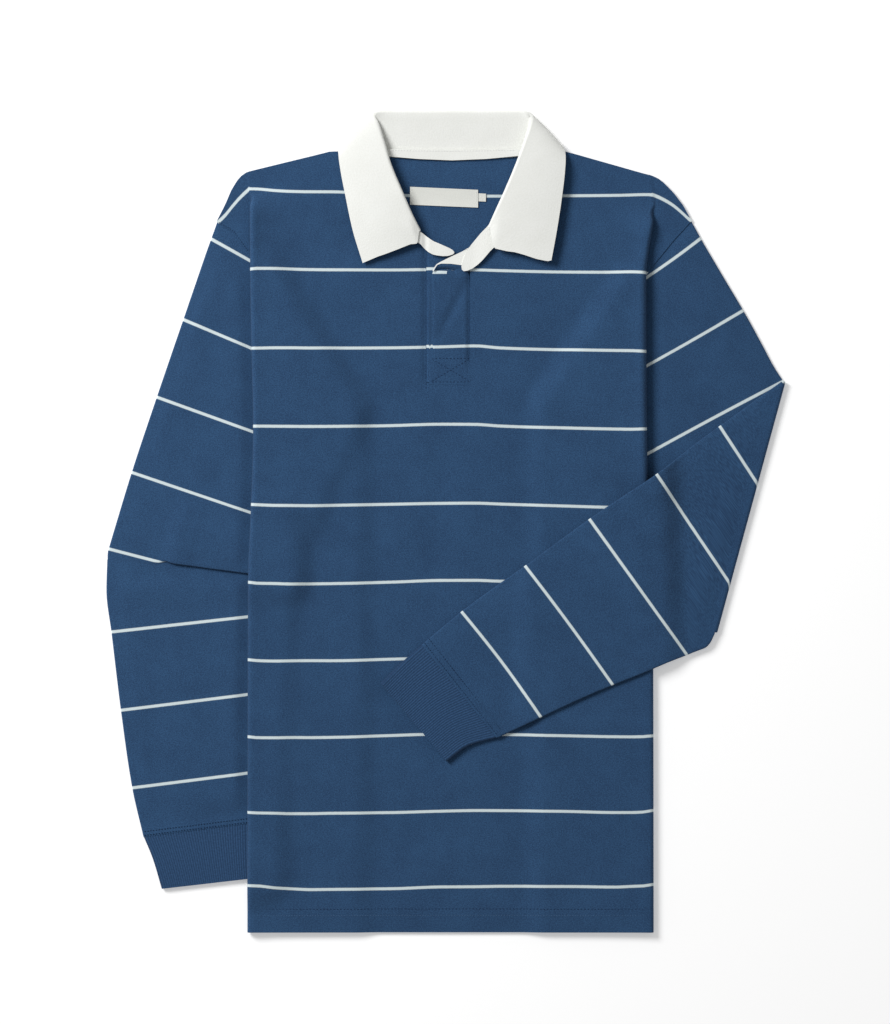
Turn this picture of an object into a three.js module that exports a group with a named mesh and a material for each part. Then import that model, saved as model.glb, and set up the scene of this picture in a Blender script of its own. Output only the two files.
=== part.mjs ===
import * as THREE from 'three';

// A rugby shirt laid flat on its back, in millimetres, with z up from the surface it rests on.
// Left and right are the wearer's, so the right sleeve is on the -x side.

// Cloth
const jersey = { wall: 1.1, gap: 0.5 };
const ribKnit = { wall: 1.5, pitch: 2.1, relief: 0.3 };
const twill = { wall: 1.6 };
const tapeWall = 0.7;
const seamGap = 0.4;
const pitch = jersey.wall + jersey.gap;

// Garment sizes
const chestWidth = 540;
const laidWidth = 368;
const hemY = -377.2;
const sideFlap = (chestWidth - laidWidth) / 2;
const cuffWidth = 95;

// How far a layer stays up past the edge of what lies under it, and how far it then takes to settle
const settle = { start: 9, run: 24 };

// Colours of the cloths
const colours = { blue: 0x2f4d73, white: 0xecece6, label: 0xe4e3dc };

// Side folds of the body
const foldEdge = [
  { y: hemY, right: -181.6, left: 191.8 },
  { y: -127, right: -181.2, left: 191.4 },
  { y: -55, right: -180.8, left: 189.5 },
  { y: 16, right: -178.1, left: 186.8 },
  { y: 87, right: -176.3, left: 185.4 },
  { y: 159, right: -177.8, left: 184.9 },
  { y: 232, right: -179.0, left: 185.4 },
  { y: 322, right: -179.4, left: 186.8 },
];

// Rows of the body below the shoulders
const bodyRows = [hemY, -355, -335, -285, -190, -95, -62, -38, -12, 15, 42, 70, 102, 127.9, 165, 200];

// Shoulder pleat under each side fold: height of its row, turn of the cloth and depth of the tuck
const pleatRows = [
  { right: 227, left: 213, turn: Math.PI, depth: 8 },
  { right: 241, left: 227, turn: Math.PI, depth: 6.5 },
  { right: 257, left: 243, turn: Math.PI, depth: 5 },
  { right: 273, left: 259, turn: Math.PI, depth: 3.5 },
  { right: 285, left: 271, turn: 2.4, depth: 2.4 },
  { right: 296, left: 282, turn: 1.3, depth: 1.8 },
  { right: 306, left: 293, turn: 0, depth: 1.5 },
  { right: 322.5, left: 319.2, turn: 0, depth: 1.5 },
];
const pleatRadius = { outer: 1.5 * pitch, inner: 0.5 * pitch };

// Armholes, from the shoulder tip down to the armpit; the second part is under the body
const armhole = {
  right: {
    shown: [[-210.2, 276], [-195, 266.3], [-180, 246], [-170.4, 230.8]],
    hidden: [{ y: 227, x: -168 }, { y: 204, x: -156.4 }, { y: 158, x: -128.8 }, { y: 102.1, x: -93.8 }],
  },
  left: {
    shown: [[226.8, 276.9], [210.7, 259.4], [190, 234], [177.6, 216.6]],
    hidden: [{ y: 213, x: 175 }, { y: 193, x: 162.8 }, { y: 151, x: 135.2 }, { y: 102.1, x: 103 }],
  },
};

// Shoulder lines outside the side folds
const shoulderCap = {
  right: [[-179.4, 322.5], [-184.6, 319.7], [-188.6, 316], [-196, 305.4], [-202.5, 292.5], [-210.2, 276]],
  left: [[186.8, 319.2], [192.7, 316.5], [196.9, 313.3], [207.6, 303.4], [217.5, 291.5], [226.8, 276.9]],
};

// Upper edges of the front and of the back
const frontTop = [
  { x: -179.4, y: 322.5 },
  { x: -152, y: 329.2 },
  { x: -106, y: 340.4 },
  { x: -98, y: 340.6 },
  { x: -88, y: 339.4 },
  { x: -83.6, y: 336 },
  { x: -79, y: 328.7 },
  { x: -69.9, y: 312.2 },
  { x: -57, y: 289.2 },
  { x: -37.5, y: 268.9 },
  { x: -17.5, y: 256 },
  { x: 23, y: 243.5 },
  { x: 41.2, y: 253.2 },
  { x: 54.1, y: 271.6 },
  { x: 67.9, y: 289.1 },
  { x: 81.7, y: 312.1 },
  { x: 90.9, y: 328.7 },
  { x: 95.5, y: 336 },
  { x: 100, y: 339.4 },
  { x: 110, y: 340.6 },
  { x: 124, y: 337 },
  { x: 186.8, y: 319.2 },
];
const backTop = [
  { x: -179.4, y: 322.5 },
  { x: -152, y: 329.2 },
  { x: -106, y: 340.4 },
  { x: -98, y: 340.6 },
  { x: -88, y: 339.8 },
  { x: -60, y: 335.9 },
  { x: -20, y: 333.4 },
  { x: 25, y: 333.2 },
  { x: 72, y: 335.9 },
  { x: 100, y: 339.8 },
  { x: 110, y: 340.6 },
  { x: 124, y: 337 },
  { x: 186.8, y: 319.2 },
];
const frontColumns = [
  -160, -140, -118, -98, -88, -79, -69.9, -57, -37.5, -17.5,
  23, 41.2, 54.1, 67.9, 81.7, 90.9, 100, 112, 131, 150, 168,
];
const backColumns = [
  -160, -140, -118, -98, -88, -79, -69.9, -57, -17.5,
  23, 54.1, 67.9, 81.7, 90.9, 100, 112, 131, 150, 168,
];

// Front opening with its two plackets
const placket = { left: 23, right: -17.5, bottom: 127.9, step: 3.7, lap: 1.8 };

// Right sleeve, down its length: outer and inner edge, and the height of the top layer over the bottom one
const rightSleeve = [
  { ox: -219.9, oy: 246.6, ix: -102.1, iy: 82.8, rise: 0 },
  { ox: -240.1, oy: 187.7, ix: -116.8, iy: 49.7, rise: 0 },
  { ox: -265, oy: 115, ix: -129.7, iy: 20.2, rise: 0.05 },
  { ox: -288, oy: 46, ix: -140.8, iy: -4.6, rise: 0.25 },
  { ox: -302, oy: 0, ix: -147.5, iy: -22, rise: 0.8 },
];
const rightForearm = [
  { ox: -311.4, oy: -62.6, ix: -156.4, iy: -68, rise: 0 },
  { ox: -306.8, oy: -101.2, ix: -160.1, iy: -90, rise: 0 },
  { ox: -298.1, oy: -173, ix: -163.8, iy: -158.2, rise: 0 },
  { ox: -287.6, oy: -244.7, ix: -167, iy: -230.9, rise: 0 },
  { ox: -278, oy: -286.1, ix: -167.9, iy: -277, rise: 0 },
];

// Tuck across the right elbow
const tuck = {
  outer: [-310.3, -31],
  inner: [-149, -50],
  radius: 0.5 * pitch,
  across: [
    { v: 0, turn: 0, depth: 1.5 },
    { v: 0.14, turn: 0, depth: 1.5 },
    { v: 0.28, turn: 2.6, depth: 1 },
    { v: 0.42, turn: Math.PI, depth: 8 },
    { v: 0.56, turn: Math.PI, depth: 15 },
    { v: 0.7, turn: Math.PI, depth: 20 },
    { v: 0.82, turn: Math.PI, depth: 22 },
    { v: 0.92, turn: 2.2, depth: 1 },
    { v: 1, turn: 0, depth: 1.5 },
  ],
};

// Left sleeve, upper arm beside the body and forearm folded over the front
const leftUpperArm = [
  { ox: 237.4, oy: 256.7, ix: 121.4, iy: 74.5 },
  { ox: 254.8, oy: 227.2, ix: 142.6, iy: 42.3 },
  { ox: 276, oy: 191.4, ix: 176.6, iy: -7.4 },
  { ox: 292.6, oy: 161, ix: 212.5, iy: -60.7 },
  { ox: 302.7, oy: 142.1, ix: 235.5, iy: -93.8 },
];
const leftFold = { ox: 307.9, oy: 129.6, ix: 247.5, iy: -101.2, steps: 4 };
const leftForearm = [
  { ox: 291.6, oy: 116.4, ix: 243.3, iy: -111.3 },
  { ox: 266.8, oy: 98.4, ix: 239.2, iy: -115.5 },
  { ox: 234.6, oy: 75.4, ix: 233.7, iy: -117.8 },
  { ox: 214, oy: 59.5, ix: 230.5, iy: -119 },
  { ox: 194.7, oy: 44.6, ix: 227.7, iy: -120.1 },
  { ox: 178, oy: 33.6, ix: 225, iy: -121.3 },
  { ox: 162.8, oy: 23.5, ix: 222.2, iy: -122.4 },
  { ox: 148, oy: 13.4, ix: 213.8, iy: -125.4 },
  { ox: 132.8, oy: 3.2, ix: 205.2, iy: -128.8 },
  { ox: 118, oy: -7.8, ix: 192.2, iy: -134.4 },
  { ox: 103, oy: -18.4, ix: 179.4, iy: -139.8 },
  { ox: 88.7, oy: -29.2, ix: 167, iy: -144.8 },
  { ox: 74.1, oy: -39.6, ix: 154.3, iy: -149.7 },
  { ox: 44.2, oy: -60.7, ix: 121.4, iy: -163.8 },
  { ox: 16, oy: -81.5, ix: 88.7, iy: -179.1 },
  { ox: -18.6, oy: -110.2, ix: 50.4, iy: -196.4 },
];

// Cuffs
const rightCuff = [
  { ox: -277.6, oy: -288, ix: -167.9, iy: -278.9 },
  { ox: -268.5, oy: -310, ix: -168.4, iy: -304 },
  { ox: -260.4, oy: -337.2, ix: -168.4, iy: -326.6 },
];
const leftCuff = [
  { ox: -20.4, oy: -111.7, ix: 48.6, iy: -197.9 },
  { ox: -39.6, oy: -128.8, ix: 23, iy: -205.2 },
  { ox: -58.9, oy: -147.7, ix: 1.7, iy: -220.2 },
];

// Collar stations round the neck from the right front end to the left one:
// seam with the body, crest, leaf edge, and how far the leaf has turned under
const collarStations = [
  { sx: -24.4, sy: 261.4, sz: 3.6, cx: -23.4, cy: 268.6, cz: 8.6, ex: -74.5, ey: 238.7, ez: 6.4, under: 0 },
  { sx: -36.8, sy: 269.6, sz: 3.0, cx: -27.6, cy: 281.5, cz: 10.5, ex: -81.9, ey: 268.6, ez: 5.6, under: 0 },
  { sx: -56.1, sy: 289.8, sz: 2.8, cx: -37.7, cy: 305.4, cz: 12, ex: -89.2, ey: 299, ez: 5.6, under: 0 },
  { sx: -69, sy: 312.8, sz: 4.0, cx: -47.8, cy: 330.3, cz: 12, ex: -95.2, ey: 322.9, ez: 6.4, under: 0 },
  { sx: -78.2, sy: 329.4, sz: 4.3, cx: -56.1, cy: 352.4, cz: 11, ex: -98, ey: 335.8, ez: 7.4, under: 0.1 },
  { sx: -82.6, sy: 337.2, sz: 4.4, cx: -62.4, cy: 367, cz: 9.8, ex: -98.6, ey: 341.8, ez: 6.8, under: 0.35 },
  { sx: -84.6, sy: 342.4, sz: 4.4, cx: -65.8, cy: 373, cz: 8.2, ex: -96.6, ey: 346.6, ez: 3.2, under: 0.6 },
  { sx: -80.5, sy: 342.4, sz: 4.0, cx: -63.5, cy: 373.5, cz: 6.6, ex: -92.6, ey: 344, ez: 0.9, under: 0.85 },
  { sx: -72.7, sy: 339.4, sz: 3.6, cx: -55.2, cy: 373.8, cz: 5, ex: -80, ey: 330.3, ez: 0.8, under: 1 },
  { sx: -48.8, sy: 336.6, sz: 3.2, cx: -36.8, cy: 373.8, cz: 4.4, ex: -55.2, ey: 327, ez: 0.8, under: 1 },
  { sx: 6.4, sy: 334.6, sz: 3.0, cx: 6.4, cy: 373.8, cz: 4.2, ex: 6.4, ey: 325.7, ez: 0.8, under: 1 },
  { sx: 60.7, sy: 336.6, sz: 3.2, cx: 50.6, cy: 373.8, cz: 4.4, ex: 66.2, ey: 327, ez: 0.8, under: 1 },
  { sx: 85.6, sy: 339.4, sz: 3.6, cx: 68, cy: 373.8, cz: 5, ex: 91, ey: 331.5, ez: 0.8, under: 1 },
  { sx: 92.6, sy: 342.4, sz: 4.0, cx: 75.5, cy: 373.5, cz: 6.6, ex: 104.6, ey: 344, ez: 0.9, under: 0.85 },
  { sx: 96.8, sy: 342.4, sz: 4.4, cx: 78.7, cy: 371.7, cz: 8.2, ex: 109, ey: 345.4, ez: 3.2, under: 0.6 },
  { sx: 94.8, sy: 337.2, sz: 4.4, cx: 77.5, cy: 365.5, cz: 9.8, ex: 111, ey: 340.6, ez: 6.8, under: 0.35 },
  { sx: 90.2, sy: 329.4, sz: 4.3, cx: 73.6, cy: 352.4, cz: 11, ex: 111.3, ey: 333, ez: 7.4, under: 0.1 },
  { sx: 81, sy: 312.8, sz: 4.0, cx: 64.9, cy: 333, cz: 12, ex: 110.9, ey: 322, ez: 6.4, under: 0 },
  { sx: 67.2, sy: 289.8, sz: 2.8, cx: 55.2, cy: 308.2, cz: 12, ex: 107.6, ey: 296.2, ez: 5.6, under: 0 },
  { sx: 53.4, sy: 272.3, sz: 3.0, cx: 45.1, cy: 284.3, cz: 10.5, ex: 103, ey: 268.6, ez: 5.6, under: 0 },
  { sx: 44.6, sy: 259, sz: 3.6, cx: 41.6, cy: 270.6, cz: 8.6, ex: 98, ey: 240.1, ez: 6.4, under: 0 },
];
const collarCorner = { x: 0.75, y: 0.66 };
const collarRoll = { sides: 1.8, back: 2.4 };

const lerp = (a, b, t) => a + (b - a) * t;
const clamp = (value) => Math.min(1, Math.max(0, value));
const ease = (t) => clamp(t) ** 2 * (3 - 2 * clamp(t));
const layer = (count) => jersey.wall / 2 + count * pitch;

// Straight-line reading between the rows of a table
function readTable(table, key, value, wanted) {
  const rising = table[table.length - 1][key] > table[0][key];
  let row = 0;
  while (row < table.length - 2 && (rising ? table[row + 1][key] < value : table[row + 1][key] > value)) {
    row += 1;
  }
  const from = table[row];
  const to = table[row + 1];
  return lerp(from[wanted], to[wanted], clamp((value - from[key]) / (to[key] - from[key])));
}

// Point at a share of the length of a line
function alongLine(line, share) {
  const lengths = line.slice(1).map((p, i) => Math.hypot(p[0] - line[i][0], p[1] - line[i][1]));
  let left = share * lengths.reduce((sum, length) => sum + length, 0);
  let part = 0;
  while (part < lengths.length - 1 && left > lengths[part]) {
    left -= lengths[part];
    part += 1;
  }
  const t = left / lengths[part];
  return [lerp(line[part][0], line[part + 1][0], t), lerp(line[part][1], line[part + 1][1], t)];
}

// Distance from an outline, negative inside it
function distanceOutside(outline, x, y) {
  let inside = false;
  let nearest = Infinity;
  outline.forEach((a, i) => {
    const b = outline[(i + 1) % outline.length];
    if (a[1] > y !== b[1] > y && x < lerp(a[0], b[0], (y - a[1]) / (b[1] - a[1]))) {
      inside = !inside;
    }
    const run = [b[0] - a[0], b[1] - a[1]];
    const t = clamp(((x - a[0]) * run[0] + (y - a[1]) * run[1]) / (run[0] ** 2 + run[1] ** 2));
    nearest = Math.min(nearest, Math.hypot(x - a[0] - t * run[0], y - a[1] - t * run[1]));
  });
  return inside ? -nearest : nearest;
}

const covered = (outline, x, y) => 1 - ease((distanceOutside(outline, x, y) - settle.start) / settle.run);

// Outlines of what lies under the body panels
const outerEdge = (rows) => rows.map((row) => [row.ox, row.oy]);
const innerEdge = (rows) => rows.map((row) => [row.ix, row.iy]);
const hiddenSeam = (side) => armhole[side].hidden.map((row) => [row.x, row.y]);
const rightSleeveOutline = [
  ...hiddenSeam('right'),
  ...innerEdge(rightSleeve),
  ...innerEdge(rightForearm),
  ...innerEdge(rightCuff),
  ...outerEdge(rightCuff).reverse(),
  ...outerEdge(rightForearm).reverse(),
  ...outerEdge(rightSleeve).reverse(),
];
const rightCuffOutline = [...innerEdge(rightCuff), ...outerEdge(rightCuff).reverse()];
const rightTuckOutline = [[-200, 8], [-156, 2], [-150, -50], [-200, -46]];
const leftSleeveOutline = [
  ...hiddenSeam('left'),
  ...innerEdge(leftUpperArm),
  [leftFold.ix, leftFold.iy],
  [leftFold.ox, leftFold.oy],
  ...outerEdge(leftUpperArm).reverse(),
];
const edgeAt = (side, y) => readTable(foldEdge, 'y', y, side);
const outward = { right: -1, left: 1 };
function flapOutline(side) {
  const seam = edgeAt(side, 0) - outward[side] * sideFlap;
  const fold = edgeAt(side, 0) + outward[side] * settle.run;
  const topY = armhole[side].hidden[0].y;
  return [[fold, topY], ...hiddenSeam(side), [seam, hemY - settle.run], [fold, hemY - settle.run]];
}
const flapOutlines = ['right', 'left'].map(flapOutline);
const collarUnder = collarStations.filter((station) => station.under > 0.5);
const collarOutline = [
  ...collarUnder.map((station) => [station.ex, station.ey]),
  ...collarUnder.map((station) => [station.cx, station.cy]).reverse(),
];

// Heights of the layers
const sleeveRise = 2 * pitch;
const cuffRise = 1.1;
const collarRise = twill.wall + jersey.gap;
function underSleeves(x, y) {
  return sleeveRise * covered(rightSleeveOutline, x, y)
    + sleeveRise * covered(leftSleeveOutline, x, y)
    + sleeveRise * covered(rightTuckOutline, x, y)
    + cuffRise * covered(rightCuffOutline, x, y);
}
const flapHeight = (x, y, inner) => layer(inner) + underSleeves(x, y);
function panelHeight(x, y, count) {
  const flaps = Math.max(...flapOutlines.map((outline) => covered(outline, x, y)));
  return layer(count) + underSleeves(x, y) + 2 * pitch * flaps + collarRise * covered(collarOutline, x, y);
}

// A cloth sheet held as points and four-sided faces of its middle, given a wall on both sides
class Sheet {
  constructor(wall) {
    this.wall = wall;
    this.points = [];
    this.faces = [];
  }

  addGrid(rows, { closed = false, skip = () => false } = {}) {
    const index = rows.map((row) => row.map((point) => {
      if (!point) {
        return -1;
      }
      this.points.push(point);
      return this.points.length - 1;
    }));
    for (let i = 0; i + 1 < rows.length; i += 1) {
      const width = rows[i].length;
      for (let j = 0; j + (closed ? 0 : 1) < width; j += 1) {
        const next = (j + 1) % width;
        const face = [index[i][j], index[i][next], index[i + 1][next], index[i + 1][j]];
        if (Math.min(...face) >= 0 && !skip(i, j)) {
          this.faces.push(face);
        }
      }
    }
    return this;
  }

  normals() {
    const sums = this.points.map(() => new THREE.Vector3());
    this.faces.forEach((face) => {
      const [a, b, c, d] = face.map((i) => new THREE.Vector3(...this.points[i]));
      const normal = new THREE.Vector3().crossVectors(c.sub(a), d.sub(b)).normalize();
      face.forEach((i) => sums[i].add(normal));
    });
    return sums.map((sum) => sum.normalize());
  }

  solid(relief = () => 0) {
    const normals = this.normals();
    const used = new Set(this.faces.flat());
    const place = new Map();
    const positions = [];
    const put = (i, side) => {
      const key = `${i}/${side}`;
      if (!place.has(key)) {
        const out = side > 0 ? this.wall / 2 + relief(this.points[i], i) : -this.wall / 2;
        const n = normals[i];
        const p = this.points[i];
        positions.push(p[0] + n.x * out, p[1] + n.y * out, p[2] + n.z * out);
        place.set(key, positions.length / 3 - 1);
      }
      return place.get(key);
    };
    used.forEach((i) => {
      put(i, 1);
      put(i, -1);
    });
    const triangles = [];
    const addQuad = (a, b, c, d) => triangles.push(a, b, c, a, c, d);
    const edges = new Map();
    this.faces.forEach((face) => {
      const [a, b, c, d] = face.map((i) => put(i, 1));
      const [e, f, g, h] = face.map((i) => put(i, -1));
      addQuad(a, b, c, d);
      addQuad(e, h, g, f);
      face.forEach((from, k) => {
        const to = face[(k + 1) % face.length];
        const back = `${to}/${from}`;
        if (edges.has(back)) {
          edges.delete(back);
        } else {
          edges.set(`${from}/${to}`, [from, to]);
        }
      });
    });
    edges.forEach(([from, to]) => addQuad(put(to, 1), put(from, 1), put(from, -1), put(to, -1)));
    const geometry = new THREE.BufferGeometry();
    geometry.setAttribute('position', new THREE.Float32BufferAttribute(positions, 3));
    geometry.setIndex(triangles);
    geometry.computeVertexNormals();
    return geometry;
  }
}

// Path across a pleat: the cloth turns under, runs back, and turns out again
function pleatPath(turn, depth, radius, steps) {
  const path = [{ u: 0, z: 0, angle: 0 }];
  const bend = (length, angle, count) => {
    const part = angle / count;
    const chord = angle === 0 ? length / count : (2 * length / angle) * Math.sin(part / 2);
    for (let i = 0; i < count; i += 1) {
      const last = path[path.length - 1];
      const heading = last.angle + part / 2;
      path.push({
        u: last.u + chord * Math.cos(heading),
        z: last.z + chord * Math.sin(heading),
        angle: last.angle + part,
      });
    }
  };
  bend(Math.max(1.5, radius.outer * turn), -turn, steps.outer);
  if (steps.run > 0) {
    bend(depth, 0, steps.run);
    bend(Math.max(1, radius.inner * turn), turn, steps.inner);
  }
  const far = Math.max(...path.map((p) => p.u));
  const end = path[path.length - 1].z;
  const reach = turn > 0 ? far + jersey.wall / 2 : 0;
  return path.map((p) => ({ u: p.u - reach, z: p.z - end, angle: p.angle }));
}

// Front and back panels, each with its side flaps, shoulder pleats and shoulder caps
const pleatSteps = { outer: 4, run: 4, inner: 3 };
const capColumns = [1 / 3, 2 / 3, 1];
const flapColumns = [0.1, 0.38, 0.7, 1];

function sideSection(side, row, front) {
  const away = outward[side];
  const inset = front ? 0 : pitch;
  const pleated = row.pleat >= 0;
  const y = row[side];
  const fold = edgeAt(side, y);
  const steps = pleated ? pleatSteps : { outer: pleatSteps.outer, run: 0 };
  const path = pleatPath(row.turn, row.depth, pleatRadius, steps);
  const base = pleated ? layer(1) : flapHeight(fold - away * pleatRadius.outer, y, 0);
  const points = path.map((p) => [
    fold + away * (p.u + inset * Math.sin(p.angle)),
    y,
    base + p.z - inset * Math.cos(p.angle),
  ]);
  const start = points.shift();
  const last = points[points.length - 1];
  if (!pleated) {
    const seam = y > armhole[side].hidden.at(-1).y
      ? readTable(armhole[side].hidden, 'y', y, 'x')
      : edgeAt(side, 0) - away * sideFlap;
    flapColumns.forEach((share) => {
      const x = lerp(last[0], seam, share);
      points.push([x, y, flapHeight(x, y, front ? 0 : 1)]);
    });
    const empty = new Array(pleatSteps.inner + capColumns.length).fill(null);
    return { start, points: [...points, ...empty] };
  }
  const shown = armhole[side].shown;
  const climb = row.pleat / (pleatRows.length - 1);
  const target = alongLine(shown, 1 - climb);
  const cap = shoulderCap[side];
  capColumns.forEach((share) => {
    const line = alongLine(cap, share);
    const chord = [lerp(cap[0][0], cap.at(-1)[0], share), lerp(cap[0][1], cap.at(-1)[1], share)];
    points.push([
      lerp(last[0], target[0], share) + (line[0] - chord[0]) * climb ** 2,
      lerp(last[1], target[1], share) + (line[1] - chord[1]) * climb ** 2,
      layer(front ? 1 : 0),
    ]);
  });
  return { start, points };
}

function bodyPanel({ front, top, columns, skip }) {
  const rows = bodyRows.map((y) => ({ right: y, left: y, turn: Math.PI, depth: 0, pleat: -1 }))
    .concat(pleatRows.map((row, pleat) => ({ ...row, pleat })));
  const baseY = bodyRows.at(-1);
  const grid = rows.map((row) => {
    const right = sideSection('right', row, front);
    const left = sideSection('left', row, front);
    const span = left.start[0] - right.start[0];
    const inner = columns.map((x) => {
      const across = (x - right.start[0]) / span;
      let y = row.right;
      if (row.pleat >= 0) {
        const climbRight = (row.right - baseY) / (pleatRows.at(-1).right - baseY);
        const climbLeft = (row.left - baseY) / (pleatRows.at(-1).left - baseY);
        y = lerp(baseY, readTable(top, 'x', x, 'y'), lerp(climbRight, climbLeft, across));
      }
      return [x, y];
    });
    const near = 9;
    const beside = (section, side) => [section.start[0] - outward[side] * near, section.start[1]];
    const plan = [beside(right, 'right'), ...inner, beside(left, 'left')];
    const middle = plan.map(([x, y]) => {
      const level = panelHeight(x, y, front ? 1 : 0);
      const pull = [right, left].map((section) => {
        const apart = Math.abs(x - section.start[0]);
        const at = panelHeight(section.start[0], section.start[1], front ? 1 : 0);
        return (section.start[2] - at) * Math.exp(-apart / settle.run);
      });
      return [x, y, level + pull[0] + pull[1]];
    });
    return [...right.points.slice().reverse(), right.start, ...middle, left.start, ...left.points];
  });
  const lead = pleatSteps.outer + pleatSteps.run + pleatSteps.inner + capColumns.length + 2;
  return new Sheet(jersey.wall).addGrid(grid, { skip: (i, j) => skip(i, j - lead) }).solid();
}

const frontOpening = (i, j) => i >= bodyRows.indexOf(placket.bottom) && frontColumns[j] === placket.right;
const front = bodyPanel({ front: true, top: frontTop, columns: frontColumns, skip: frontOpening });
const back = bodyPanel({ front: false, top: backTop, columns: backColumns, skip: () => false });

// Sleeves and cuffs, each a flattened tube
const sleeveSteps = [0, 0.14, 0.28, 0.42, 0.56, 0.7, 0.82, 0.92, 1];
const halfTurn = [Math.PI / 3, 2 * Math.PI / 3];

// One ring of a flattened tube; half is the spacing of its two layers over two
function tubeRing(station, { half, wall, top = sleeveSteps, bottom = sleeveSteps, place }) {
  const outer = [station.ox, station.oy];
  const inner = [station.ix, station.iy];
  const width = Math.hypot(outer[0] - inner[0], outer[1] - inner[1]);
  const inset = (half + wall / 2) / width;
  const across = [(inner[0] - outer[0]) / width, (inner[1] - outer[1]) / width];
  const at = (v, side, offset) => {
    const share = inset + v * (1 - 2 * inset);
    const straight = outer.map((start, k) => lerp(start, inner[k], share));
    const line = station.line ? station.line(share) : straight;
    return place(station, [line[0] + across[0] * side, line[1] + across[1] * side], offset, v);
  };
  return [
    ...top.map((v) => at(v, 0, half)),
    ...halfTurn.map((angle) => at(1, half * Math.sin(angle), half * Math.cos(angle))),
    ...bottom.slice().reverse().map((v) => at(v, 0, -half)),
    ...halfTurn.map((angle) => at(0, -half * Math.sin(angle), -half * Math.cos(angle))),
  ];
}

const sleeveHalf = pitch / 2;
const sleeveCentre = layer(0) + sleeveHalf;

function armholeLine(side, away) {
  const seam = [...armhole[side].shown.slice(0, 3), ...hiddenSeam(side)];
  return seam.map(([x, y]) => [x + away[0], y + away[1]]);
}

// Rows between the armhole and the first table row, easing from the curved seam to a straight line
function sleeveHead(side, away, first) {
  const seam = armholeLine(side, away);
  return [0, 0.5].map((t) => {
    const ends = [seam[0], seam.at(-1)];
    const ox = lerp(ends[0][0], first.ox, t);
    const oy = lerp(ends[0][1], first.oy, t);
    const ix = lerp(ends[1][0], first.ix, t);
    const iy = lerp(ends[1][1], first.iy, t);
    return {
      ox,
      oy,
      ix,
      iy,
      rise: 0,
      line: (share) => {
        const [px, py] = alongLine(seam, share);
        const chord = [lerp(ends[0][0], ends[1][0], share), lerp(ends[0][1], ends[1][1], share)];
        return [
          lerp(ox, ix, share) + (px - chord[0]) * (1 - t),
          lerp(oy, iy, share) + (py - chord[1]) * (1 - t),
        ];
      },
    };
  });
}

// Right sleeve, with the tuck across its top layer
const tuckSteps = { outer: 3, run: 2, inner: 3 };
function tuckPath(v) {
  const turn = readTable(tuck.across, 'v', v, 'turn');
  const depth = readTable(tuck.across, 'v', v, 'depth');
  return pleatPath(turn, depth, { outer: tuck.radius, inner: tuck.radius }, tuckSteps);
}
const tuckCount = tuckSteps.outer + tuckSteps.run + tuckSteps.inner + 1;
const tuckStations = Array.from({ length: tuckCount }, (_, step) => ({
  ox: tuck.outer[0],
  oy: tuck.outer[1],
  ix: tuck.inner[0],
  iy: tuck.inner[1],
  step,
}));

function placeRight(station, [x, y], offset, v) {
  const share = clamp((offset / sleeveHalf + 1) / 2);
  if (station.step === undefined) {
    return [x, y, sleeveCentre + offset + share * station.rise * tuckPath(v)[0].z];
  }
  const path = tuckPath(v);
  const flat = lerp(path[0].u, path[tuckCount - 1].u, 0.5) + (station.step - (tuckCount - 1) / 2) * 0.9;
  const point = path[station.step];
  return [x, y - lerp(flat, point.u, share), sleeveCentre + offset + share * point.z];
}

const rightAway = [-seamGap * 0.8, -seamGap * 0.6];
const rightStations = [
  ...sleeveHead('right', rightAway, rightSleeve[0]),
  ...rightSleeve,
  ...tuckStations,
  ...rightForearm,
];
const sleeveTube = { half: sleeveHalf, wall: jersey.wall };
const rightRings = rightStations.map((station) => tubeRing(station, { ...sleeveTube, place: placeRight }));
const sleeveRight = new Sheet(jersey.wall).addGrid(rightRings, { closed: true }).solid();

// Left sleeve, turned over at the fold and laid over the front
function overBody(x, y) {
  const reach = 12;
  let highest = 0;
  [-reach, 0, reach].forEach((dx) => {
    [-reach, 0, reach].forEach((dy) => {
      const inBody = Math.min(x + dx, edgeAt('left', y + dy) - pleatRadius.outer);
      highest = Math.max(highest, panelHeight(inBody, y + dy, 2));
    });
  });
  const beyond = x - edgeAt('left', y);
  return lerp(highest, layer(2), ease((beyond - settle.start) / settle.run));
}
const foldCentre = sleeveCentre + pitch;
const foldRun = [leftFold.ix - leftFold.ox, leftFold.iy - leftFold.oy];
const foldLength = Math.hypot(...foldRun);
const foldOut = [-foldRun[1] / foldLength, foldRun[0] / foldLength];

function placeLeft(station, [x, y], offset) {
  const radius = pitch - offset;
  const out = radius * Math.sin(station.angle);
  const lift = station.angle > Math.PI / 2 ? overBody(x, y) - layer(2) : 0;
  return [x + foldOut[0] * out, y + foldOut[1] * out, foldCentre - radius * Math.cos(station.angle) + lift];
}

const withAngle = (rows, angle) => rows.map((row) => ({ ...row, angle }));
const foldStations = Array.from({ length: leftFold.steps + 1 }, (_, step) => ({
  ...leftFold,
  angle: (Math.PI * step) / leftFold.steps,
}));
const leftAway = [seamGap * 0.7, -seamGap * 0.7];
const leftStations = [
  ...withAngle(sleeveHead('left', leftAway, leftUpperArm[0]), 0),
  ...withAngle(leftUpperArm, 0),
  ...foldStations,
  ...withAngle(leftForearm, Math.PI),
];
const leftRings = leftStations.map((station) => tubeRing(station, { ...sleeveTube, place: placeLeft }));
const sleeveLeft = new Sheet(jersey.wall).addGrid(leftRings, { closed: true }).solid();

// Ribbed cuffs
const cuffHalf = (ribKnit.wall + jersey.gap) / 2;
const ribCount = Math.round(cuffWidth / ribKnit.pitch);
const ribSteps = Array.from({ length: 2 * ribCount + 1 }, (_, step) => step / (2 * ribCount));
const plainSteps = [0, 0.25, 0.5, 0.75, 1];

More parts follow.
